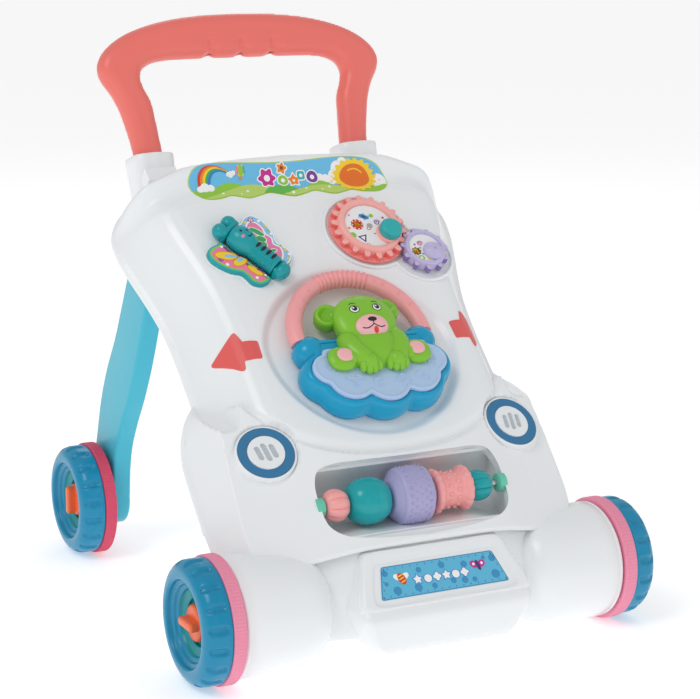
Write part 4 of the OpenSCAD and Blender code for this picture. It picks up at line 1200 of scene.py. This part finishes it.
knob_way = big_way @ shift(13.4, -9, 0)
piece("big_gear_handle", revolve([(2.5, 3), (2.5, 11.6), (9, 11.6), (9.1, 12), (9, 16), (8.7, 17),
                                  (8.0, 17.8), (6.6, 18.4), (3, 18.7), (0, 18.7)], 144, knurl), KNOB_TEAL,
                                  "big_gear_knob", "knob_teal",
      "big_gear_knob", knob_way, 40)
# The boss is coloured with the painted highlight copy of the gear pink.
piece("big_gear_boss", revolve([(10.4, 8), (10.4, 10.4), (9.9, 11.1), (9, 11.3), (2.6, 11.3)], 60), GEAR_PAINTED_HIGHLIGHT,
      "big_gear", "gear_pink", place=knob_way)

small_way = PANEL @ shift(SMALL[0], SMALL[1], PANEL_TOP)
teeth, tooth_light_shade_tones = toothed(11, 20.4, 14.8, 2.4, 8.6, MESH + 180 + 180 / 11)
ring_ = revolve([(15.6, 2), (17.2, 2.2), (17.2, 8.8), (17.0, 9.8), (16.3, 10.7), (15.2, 11), (14.3, 10.7),
                 (13.8, 9.8), (13.7, SMALL_FLOOR), (0, SMALL_FLOOR)], 96)
mound = moved(revolve([(8.6, 8), (8.6, 10.4), (8.2, 11.2), (7.2, 11.6), (6, 12.0), (5, 13), (3.4, 13.8),
                       (0, 14)], 60),
              shift(5.4, -4.4, 0))
bowl_ = moved(ball((0, 0, 9.4), 5.2, 30, (1, 1, 0.9)), shift(5.4, -4.4, 0))
# The ring and the mound wear the painted highlight copy; the tooth flanks the painted shade copy.
shape, tones = assembled((teeth, tooth_light_shade_tones), (ring_, 1), (mound, 1), (bowl_, 0))
piece("small_gear_wheel", shape, [GEAR_LAVENDER, LILAC_PAINTED_HIGHLIGHT, LILAC_PAINTED_SHADE], "small_gear", "gear_lavender",
      "small_gear", small_way, 40, tones)
art = Print(None, 1.0, 0.06, SMALL_FLOOR)
art.add(circle(13.6, n=60), DISC_WHITE, 1)
for outline, ink in (
        (stroke(spiral((-3.2, 4.6), 2.6), 0.8), "magenta"), (blob((-8.6, -2.6), 4.2, 8, 0.2), "brown"),
        (oval((-8.6, -2.6), 3.2, 2.7, -20), "yellow"), (circle(2.7, (-6.6, -9.4)), "lime"),
        (oval((-0.6, -11.2), 1.9, 0.9, -40), "yellow"), (circle(1.0, (-11, -7.4)), "magenta"),
        (star((-8.0, 4.0), 1.5, 3, 0.4, 200), "navy"), (star((-4.4, 0.4), 1.3, 5, 0.5), "green"),
        (blob((-4.0, -5.6), 1.3, 5, 0.5), "teal")):
    art.add(outline, ink, 2)
art.add(circle(1.3, (-6.6, -9.4)), DISC_WHITE, 3)
art.piece("small_gear_print", body="small_gear", slot="gear_lavender", place=small_way)

# ---- butterfly ----

FLY_WAY = PANEL @ shift(FLY[0], FLY[1], 0) @ turn(FLY_TURN, "Z")
WING_R = smooth([(11.9, 23.8), (15.5, 24.2), (22, 25.6), (28.4, 23.8), (31.6, 17.6), (31, 9), (28, 0),
                 (23.6, -6), (23.4, -11), (24.4, -17), (21.6, -22.6), (15.6, -25.6), (10, -25), (9.5, -18),
                 (9.6, -8), (9.9, -1), (11.4, 4), (11.7, 13)], 5)
WING_L = [(-x, y) for x, y in reversed(WING_R)]
for word, outline in (("right", WING_R), ("left", WING_L)):
    piece(word + "_wing", slab(spaced(outline, 1.5), 3.9, 8.4, top=1.2, steps=4), FLY_TEAL,
          slot="butterfly_teal", nodes="butterfly_base" if word == "right" else (), place=FLY_WAY, sharp=50)
    piece(word + "_wing_edge", slab(spaced(grow(outline, 1.2), 1.5), 3.9, 4.7, top=0.4), WHITE,
          slot="butterfly_teal", place=FLY_WAY)
WING_TOP = 8.35
wing = Print(None, 0.5, 0.07, WING_TOP)
wing.add(grow(WING_R, -0.4), "white", 1)
wing.add(grow(WING_R, -1.4), "pale_blue", 2)
PATCH = smooth([(10, 12), (15, 17), (21, 19.4), (24.6, 16), (24.2, 9), (21.6, 4), (22.4, -1), (18.6, -6),
                (20, -12), (16, -17), (11, -19), (8, -16), (7, 2)], 5)
wing.add(grow(PATCH, 1.3), "white", 3, within=WING_R)
wing.add(PATCH, "cloud_pink", 4, within=WING_R)
for c, rx, ry, a in (((18.6, 10), 2.2, 6.4, 14), ((15.4, 3.4), 2.6, 4.2, 30), ((13, -1.6), 2.0, 2.4, 0),
                     ((13.4, -10), 1.3, 3.0, 60)):
    wing.add(oval(c, rx + 0.7, ry + 0.7, a), "white", 5, within=WING_R)
    wing.add(oval(c, rx, ry, a), "leaf", 6, within=WING_R)
wing.add(blob((24.4, 20.2), 2.6, 5, 0.35), "purple", 6)
wing.add(circle(1.5, (24.4, 20.2), 18), "white", 7)
wing.add(circle(0.8, (24.4, 20.2), 14), "red", 8)
for c, r, ink in (((18.6, 21.8), 1.3, "yellow"), ((28.6, 15.4), 1.3, "white"), ((28.6, 9), 1.2, "yellow"),
                  ((26, 1), 1.2, "white"), ((21.8, -16), 1.3, "yellow"), ((20.4, -20.6), 1.1, "white"),
                  ((16, -23), 1.1, "yellow"), ((27, 4.8), 0.9, "lime"), ((22, -11), 1.0, "lime")):
    wing.add(circle(r, c, 16), ink, 6)
wing.add(grow(WING_L, -0.5), "teal", 1)
wing.add(grow(WING_L, -1.9), "lime", 2)
wing.add(grow(WING_L, -3.4), "cloud_pink", 3)
for c, rx, ry, a in (((-19.6, 12.2), 3.6, 8.6, 42), ((-15.6, 1.4), 3.4, 6.0, 76),
                     ((-13.6, -12), 2.4, 6.6, 8)):
    wing.add(oval(c, rx + 0.9, ry + 0.9, a), "orange", 4, within=WING_L)
    wing.add(oval(c, rx, ry, a), "yellow", 5, within=WING_L)
for c, rx, ry, a in (((-17.4, 9.6), 1.6, 5.2, 44), ((-14, 2.4), 1.6, 3.6, 74)):
    wing.add(oval(c, rx, ry, a), "pale_blue", 6, within=WING_L)
for c, r in (((-15, 20), 1.3), ((-25.6, 6.4), 1.4), ((-18, -17), 1.3), ((-11, -20), 1.0), ((-25, 17.6), 0.9)):
    wing.add(circle(r, c, 16), "white", 4)
wing.add(stroke(spiral((-25.4, 12.6), 2.4), 0.8), "purple", 4)
wing.add(oval((-10, -15.6), 1.0, 4.4, 20), "purple", 6, within=WING_L)
wing.piece("wing_prints", slot="butterfly_teal", place=FLY_WAY)

AX = 11.0
for word, x in (("left", -5.6), ("right", 5.6)):
    piece(word + "_feeler_ball", ball((x, 29.2, AX - 0.4), 6.3, 40), FLY_TEAL, slot="butterfly_teal",
          place=FLY_WAY)
piece("head_mount", slab(rounded_rect(18, 4.6, 1.6, 5, (0, 24.6)), 3, AX + 5.6, top=1.6), FLY_TEAL,
      slot="butterfly_teal", place=FLY_WAY)
piece("tail_ball", ball((0, -27.4, AX), 7.0, 44, (1.1, 0.86, 1)), FLY_TEAL, slot="butterfly_teal",
      place=FLY_WAY)
piece("tail_mount", slab(rounded_rect(14, 3.6, 1.4, 5, (0, -24)), 3, AX + 4.4, top=1.4), FLY_TEAL,
      slot="butterfly_teal", place=FLY_WAY)
body = [(0, -22), (4, -22), (7.4, -21.7), (8.2, -20.8), (9.6, -18.6), (10.4, -15), (10.6, -11.4), (10, -7.6),
        (8.8, -4.6), (7.9, -2.2), (7.7, -0.6)]
z = -0.4
while z < 20.4:
    body += [(7.75, z), (8.05, z + 0.3), (8.05, z + 1.1), (7.75, z + 1.4)]
    z += 1.62
body += [(7.7, 20.8), (7.2, 21.8), (4, 22), (0, 22)]
roller_way = FLY_WAY @ shift(0, 0, AX) @ turn(90, "X")
piece("roller_body", revolve(body, 80), FLY_TEAL, "butterfly_roller", "butterfly_teal", "butterfly_roller",
      roller_way, 35)


ROLLER_AT = [-22, -18.6, -15, -11.4, -7.6, -4.6, -2.2, 21]
ROLLER_RADII = [8, 9.6, 10.4, 10.6, 10, 8.8, 8.1, 8.1]


def on_roller(angle, along, w, h, level=0.12):
    """A small printed patch on the roller: angle round it, place along it."""
    pts, faces = [], []
    n, m = 24, 8
    for j in range(m + 1):
        for i in range(n):
            t = 2 * math.pi * i / n
            q = j / m
            a = math.radians(angle) + q * w / 2 / 10 * math.cos(t)
            y = along + q * h / 2 * math.sin(t)
            radius = np.interp(y, ROLLER_AT, ROLLER_RADII) + level
            pts.append((radius * math.cos(a), radius * math.sin(a), y))
    for j in range(m):
        for i in range(n):
            k = (i + 1) % n
            faces.append((j * n + i, j * n + k, (j + 1) * n + k, (j + 1) * n + i))
    faces.append(tuple(range(n)))
    return pts, faces


prints = []
for k in range(4):
    prints.append(on_roller(84, 1.4 + 5.0 * k, 9.6, 2.4, 0.25))
prints.append(on_roller(74, -12.6, 1.7, 2.4))
prints.append(on_roller(98, -15.6, 1.7, 2.4))
smile = []
for k in range(9):
    t = math.radians(-70 + 140 * k / 8)
    smile.append(on_roller(76 + 16 * math.sin(t) * 0.8 + 6, -9.2 + 1.6 * math.cos(t) + 0.3, 1.0, 0.9))
piece("roller_print", joined(*prints, *smile), BLACK, "butterfly_roller", "butterfly_teal", place=roller_way)
piece("roller_cheek", on_roller(112, -11.2, 3.0, 2.4), INK["cloud_pink"], "butterfly_roller",
      "butterfly_teal", place=roller_way)

# White floor and rims of the gears' seat
seat_parts = [slab(circle(34.5, BIG, 120), PANEL_TOP - 1.6, PANEL_TOP + 0.1),
              slab(circle(24.7, SMALL, 96), PANEL_TOP - 1.6, PANEL_TOP + 0.1)]
toward = math.degrees(math.atan2(SMALL[1] - BIG[1], SMALL[0] - BIG[0]))
for c, r, at, half in ((BIG, 35.3, toward, 32.6), (SMALL, 25.5, toward + 180, 47.6)):
    line = []
    for k in range(121):
        u = math.radians(at + half + (360 - 2 * half) * k / 120)
        line.append((c[0] + r * math.cos(u), c[1] + r * math.sin(u), PANEL_TOP + 0.6))
    seat_parts.append(tube(line, 1.5, 14))
piece("gear_seat", joined(*seat_parts), WHITE, slot="grey_tray", nodes="gear_tray", place=PANEL)


# ---- bear toy on its cloud ----

CLOUD = [(-43, 69, 12.4), (-27.5, 60, 18.6), (0, 56.5, 19.7), (27.5, 60, 18.6), (43, 69, 12.4)]
FOOT = (31.2, 74.2)
PAD = (30.0, 75.0)


def cloud_line(grow_by, top, n=300):
    """Outline of the cloud: round lobes at the front and sides and a straight back."""
    c = (0.0, 72.0)
    reach = []
    for i in range(n):
        a = 2 * math.pi * i / n
        ux, uy = math.cos(a), math.sin(a)
        best = 0.0
        for cx, cy, r in CLOUD:
            px, py = cx - c[0], cy - c[1]
            along = px * ux + py * uy
            gap_ = (r + grow_by) ** 2 - (px * px + py * py - along * along)
            if gap_ > 0:
                best = max(best, along + math.sqrt(gap_))
        side = (43 + grow_by) / abs(ux) if abs(ux) > 1e-6 else 1e9
        rear = (top - c[1]) / uy if uy > 1e-6 else (c[1] - 60) / -uy if uy < -1e-6 else 1e9
        reach.append(max(best, min(side, rear)))
    reach = np.array(reach)
    for _ in range(3):
        reach = (np.roll(reach, 1) + 2 * reach + np.roll(reach, -1)) / 4
    return [(float(c[0] + q * math.cos(2 * math.pi * i / n)), float(c[1] + q * math.sin(2 * math.pi * i / n)))
            for i, q in enumerate(reach)]


def cloud_rings(steps, top):
    return [[(x, y, z) for x, y in cloud_line(g, top + g)] for z, g in steps]


def pillow(c, rx, ry, front, back, power=2.2, n=72, m=14, back_inset=0.72):
    """A rounded body: an oval front of the given height over c, and a back that draws in."""
    levels = []
    for i in range(m):
        t = i / m
        levels.append((back_inset + (1 - back_inset) * math.sin(math.pi / 2 * t), c[2] - back * (1 - t)))
    for i in range(m):
        a = math.pi / 2 * i / m
        levels.append((math.cos(a) ** (2 / power), c[2] + front * math.sin(a)))
    out = []
    for s, z in levels:
        ring = []
        for k in range(n):
            t = 2 * math.pi * k / n
            e = 2 / power
            x = math.copysign(abs(math.cos(t)) ** e, math.cos(t))
            y = math.copysign(abs(math.sin(t)) ** e, math.sin(t))
            ring.append((c[0] + rx * s * x, c[1] + ry * s * y, z))
        out.append(ring)
    out.append([(c[0], c[1], c[2] + front)])
    return loft(out)


base = loft(cloud_rings([(1.8, 5.4), (2.6, 6.2), (5, 6.6), (8.5, 6.5), (12, 6.1), (15, 5.4), (17, 4.6),
                         (18.4, 3.6), (19.1, 2.5), (19.2, 1.2), (18.9, 0.6), (18.2, 0.5)], 93))
bosses = [pillow((s * 46.5, 93, 8.5), 12.6, 12.6, 11.2, 6.6, 2.0, back_inset=0.96) for s in (-1, 1)]
toy_floor = loft([[(x, y, z) for x, y in cloud_line(4.8, 92)] for z in (-0.55, 1.65)])
piece("toy_back_plate", toy_floor, CLOUD_BLUE, "bear_toy", "cloud_blue", "toy_back", PANEL, 40)
piece("cloud_base_shell", joined(base, *bosses), CLOUD_BLUE, "bear_toy", "cloud_blue", "cloud_base", PANEL,
      55)
top_skin = loft(cloud_rings([(18.3, 0.1), (21.2, 0.1), (21.9, -0.2), (22.25, -0.8), (22.3, -1.6),
                             (22.0, -2.4), (21.5, -2.9), (21.4, -3.4)], 86))
marks = []
for c, q in (((-42, 68.6), 3.4), ((-38.6, 66), 2.2), ((-27, 56), 3.2), ((-22.4, 57.4), 3.2),
             ((-31, 57.6), 2.6), ((-26.6, 52.6), 2.4), ((-8, 52.6), 4.0), ((-6, 51.6), 2.0), ((9, 52.6), 2.4),
             ((13, 55.4), 2.6), ((17, 52.4), 2.4), ((13, 49.4), 2.4), ((28, 55), 3.2), ((32, 52.6), 2.8),
             ((41, 64), 3.0), ((43.6, 68), 2.4)):
    turns = [(c[0] + q * math.cos(u), c[1] + q * math.sin(u), 21.4)
             for u in np.linspace(0, 2 * math.pi, 25)[:-1]]
    marks.append(tube(turns, 0.5, 8, True))
piece("cloud_plate_shell", joined(top_skin, *marks), CLOUD_PLATE, "bear_toy", "cloud_plate", "cloud_plate",
      PANEL, 50)

HEAD = (0.0, 107.0, 23.0)
FACE_RISE = 9.0


def head_front(xy):
    q = (np.abs(xy[:, 0] / 25.0) ** 2.2 + np.abs((xy[:, 1] - HEAD[1]) / 22.5) ** 2.2)
    return HEAD[2] + FACE_RISE * np.maximum(1 - q, 0) ** 0.5


MUZZLE = oval((0, 96.8), 13.4, 9.4, 0, 72)


def muzzle_front(xy):
    q = (xy[:, 0] / 13.4) ** 2 + ((xy[:, 1] - 96.8) / 9.4) ** 2
    return head_front(xy) + 0.3 + 2.6 * np.sqrt(np.maximum(1 - q, 0))


def limb(path, radii):
    """A rounded limb along the path, with a ball at each end."""
    parts = [tube(smooth_path(path), smooth_values(radii), 24)]
    parts += [ball(path[0], radii[0], 28), ball(path[-1], radii[-1], 28)]
    return joined(*parts)


def smooth_path(path, per=6):
    flat = smooth([(p[0], p[1]) for p in path], per, False)
    zs = np.interp(np.linspace(0, len(path) - 1, len(flat)), range(len(path)), [p[2] for p in path])
    return [(float(x), float(y), float(z)) for (x, y), z in zip(flat, zs)]


def smooth_values(values, per=6):
    n = (len(values) - 1) * per + 1
    return np.interp(np.linspace(0, len(values) - 1, n), range(len(values)), values).tolist()


bear_parts = [pillow(HEAD, 25, 22.5, FACE_RISE, 18, 2.2),
              pillow((0, 82, 22), 20, 17, 9.5, 0.6, 2.3, back_inset=0.99)]
for s in (-1, 1):
    bear_parts.append(limb([(s * 1.4, 126.4, 25), (s * 4.6, 124.4, 27), (s * 8.6, 121, 27.6)],
                           [1.6, 2.0, 1.2]))
    bear_parts.append(limb([(s * 19.5, 91, 20), (s * 19.5, 83, 22.5), (s * 16, 75, 24.4),
                            (s * 11.4, 68.6, 25.4)],
                           [8.4, 9, 8.4, 7.4]))
    for k in range(4):
        x = s * (4.6 + 4.4 * k)
        v = (63.6, 61.6, 61.4, 63.4)[k]
        bear_parts.append(limb([(s * 11 + 0.55 * (x - s * 11), 70, 28.0), (x, v + 2, 26.6), (x, v, 24.6)],
                               [2.8, 2.9, 2.6]))
    bear_parts.append(limb([(s * 17, 77, 22), (s * 24, 74, 23)], [8.5, 7]))
piece("bear_body", joined(*bear_parts), BEAR_GREEN, "bear_toy", "bear_green", "bear", PANEL, 60)
for word, s in SIDES:
    ear = revolve([(0, 2.6), (3.4, 2.7), (5.0, 3.4), (6.2, 5.2), (7.2, 6.5), (8.4, 6.7), (9.4, 5.8),
                   (10.0, 3.6), (10.0, 0), (9.4, -4.4), (7.8, -7), (5, -8), (0, -8)], 64)
    way = PANEL @ shift(s * 24.6, 119, 12.6) @ turn(s * 10, "Y")
    piece(word + "_bear_ear", ear, BEAR_GREEN, "bear_toy", "bear_green", place=way, sharp=60)
    foot = pillow((s * FOOT[0], FOOT[1], 24.6), 11.2, 10.2, 4.2, 2.8, 2.3, back_inset=0.93)
    piece(word + "_bear_foot", foot, BEAR_GREEN, "bear_toy", "bear_green", place=PANEL, sharp=60)
    pad = pillow((s * PAD[0], PAD[1], 28.6), 6.6, 5.7, 1.7, 4.0, 2.2, back_inset=0.98)
    piece(word + "_foot_pad", pad, BEAR_PINK, word + "_foot_button", "bear_pink", word + "_foot_button",
          PANEL, 60)
    rim_ = tube([(s * PAD[0] + 6.9 * math.cos(t), PAD[1] + 6.0 * math.sin(t), 28.5)
                 for t in np.linspace(0, 2 * math.pi, 49)[:-1]], 0.5, 8, True)
    piece(word + "_foot_rim", rim_, BEAR_GREEN, "bear_toy", "bear_green", place=PANEL)
lo_, hi_ = np.min(MUZZLE, 0) - 1, np.max(MUZZLE, 0) + 1
muzzle_skin = draped(lambda xy: inside_distance(MUZZLE, xy), (lo_[0], hi_[0], lo_[1], hi_[1]), 0.6,
                     muzzle_front, rims=[[(0.1, 0.6), (0.1, 3.0)]])
piece("bear_muzzle_shell", muzzle_skin, BEAR_PINK, "bear_toy", "bear_pink", "bear_muzzle", PANEL, 60)
muzzle = Print(muzzle_front, 0.7, 0.06)
muzzle.add(oval((0, 100.6), 3.7, 2.1), BLACK, 2)
muzzle.add(stroke([(0, 99), (0, 96.4)], 0.7), BLACK, 2)
for s in (-1, 1):
    muzzle.add(stroke([(s * x, 96.4 - 2.6 * math.sin(math.pi * min(x / 9.4, 1) * 0.82))
                       for x in np.linspace(0, 9.4, 14)],
                      0.75), BLACK, 2)
muzzle.add(oval((1.0, 91.9), 1.9, 2.4), "red", 3)
muzzle.piece("bear_muzzle_print", body="bear_toy", slot="bear_pink", place=PANEL)
eyes = Print(head_front, 0.7, 0.07)
for s in (-1, 1):
    c = (s * 9.4, 113.0)
    eyes.add(oval(c, 3.9, 3.5, s * 10), BLACK, 2)
    eyes.add(oval((c[0], c[1] - 0.1), 3.3, 2.9, s * 10), "white", 3)
    eyes.add(oval((c[0] + 0.2, c[1] + 0.4), 2.2, 2.3), BLACK, 4)
    eyes.add(circle(0.8, (c[0] - 0.6, c[1] + 1.1), 14), "white", 5)
    eyes.add(stroke([(c[0] - 2.6 + 5.2 * t, c[1] + 5.2 + 1.0 * math.sin(math.pi * t))
                     for t in np.linspace(0, 1, 8)], 0.6),
             BLACK, 2)
eyes.piece("bear_eye_print", body="bear_toy", slot="bear_green", place=PANEL)

# Ring handle: accordion ribs at its top
path, radii = [], []
steps = 330
for i in range(steps + 1):
    a = math.radians(-4 + 188 * i / steps)
    path.append((52.7 * math.cos(a), 104 + 52.7 * math.sin(a), 9.75))
    away = abs(math.degrees(a) - 90)
    rib = 1.5 * (0.5 - 0.5 * math.cos(2 * math.pi * (math.degrees(a) - 66) / 4.36)) if away < 24 else 0
    radii.append((5.8 if away < 24 else 6.6) + rib)
ring_shape = tube(path, radii, 28)
marks = []
for a in (20, 34, 50, 58, 126, 138, 150, 163):
    t = math.radians(a)
    c = (52.0 * math.cos(t), 104 + 52.0 * math.sin(t), 9.75 + 6.45)
    arc_ = [(c[0] + 1.9 * math.cos(u + t), c[1] + 1.9 * math.sin(u + t), c[2] - 0.05 * math.sin(2 * u))
            for u in np.linspace(0.2, 2.6, 9)]
    marks.append(tube(arc_, 0.5, 8))
piece("ring_handle_moulding", joined(ring_shape, *marks), RING_PINK, "bear_toy", "ring_pink", "ring_handle",
      PANEL, 60)


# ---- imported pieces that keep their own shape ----

SLOT_OF = {s["node"]: s["material_slot"] for s in frame["record"]["subparts"]}
for name, node in NODES.items():
    for slot_ in node.material_slots:
        slot_.material = MATERIALS[SLOT_OF[name]]


# ---- camera, lights, floor ----

CENTRE = Vector((0.0, 0.0, 0.22))
SKY_STRENGTH = 0.56
FLOOR_GLOW = 0.38
LENS = 107.04
# The camera's turn round the walker, its height angle and its roll
AZ, EL, ROLL = math.radians(-26.83), math.radians(11.91), math.radians(-0.08)


def light(name, at, energy, size):
    """A round soft lamp, aimed at the middle of the walker."""
    lamp = bpy.data.lights.new(name, "AREA")
    lamp.energy = energy
    lamp.shape = "DISK"
    lamp.size = size
    made = bpy.data.objects.new(name, lamp)
    made.location = at
    made.rotation_mode = "QUATERNION"
    made.rotation_quaternion = (CENTRE - Vector(at)).to_track_quat("-Z", "Y")
    bpy.context.scene.collection.objects.link(made)


camera_data = bpy.data.cameras.new("camera")
camera_data.sensor_width = 36.0
camera_data.lens = LENS
camera_data.clip_start, camera_data.clip_end = 0.05, 50.0
camera = bpy.data.objects.new("camera", camera_data)
camera.rotation_mode = "QUATERNION"
back = Vector((math.sin(AZ) * math.cos(EL), -math.cos(AZ) * math.cos(EL), math.sin(EL)))
camera.location = (-0.7043, FRONT_Y * MM - 1.2861, 0.5347)
camera.rotation_quaternion = (-back).to_track_quat("-Z", "Y") @ Matrix.Rotation(ROLL, 4, "Z").to_quaternion()
bpy.context.scene.collection.objects.link(camera)
bpy.context.scene.camera = camera

light("key", (-1.7, -0.9, 2.3), 15, 1.2)
light("fill", (1.9, -1.7, 1.2), 3, 1.8)
light("front", (-0.6, -2.6, 0.9), 1, 1.4)
light("rim", (0.9, 1.9, 1.8), 4, 1.2)

world = bpy.data.worlds.new("studio")
world.use_nodes = True
world.node_tree.nodes["Background"].inputs["Color"].default_value = (1, 1, 1, 1)
world.node_tree.nodes["Background"].inputs["Strength"].default_value = SKY_STRENGTH
bpy.context.scene.world = world
bpy.context.scene.view_settings.view_transform = "Standard"

floor_mesh = bpy.data.meshes.new("floor")
floor_mesh.from_pydata([(-30, -30, 0), (30, -30, 0), (30, 30, 0), (-30, 30, 0)], [], [(0, 1, 2, 3)])
FLOOR = plastic("floor", (252, 252, 252), 0.8)
FLOOR.node_tree.nodes["Principled BSDF"].inputs["Emission Color"].default_value = (1, 1, 1, 1)
FLOOR.node_tree.nodes["Principled BSDF"].inputs["Emission Strength"].default_value = FLOOR_GLOW
floor_mesh.materials.append(FLOOR)
floor = bpy.data.objects.new("floor", floor_mesh)
floor.location.z = -0.0002
bpy.context.scene.collection.objects.link(floor)
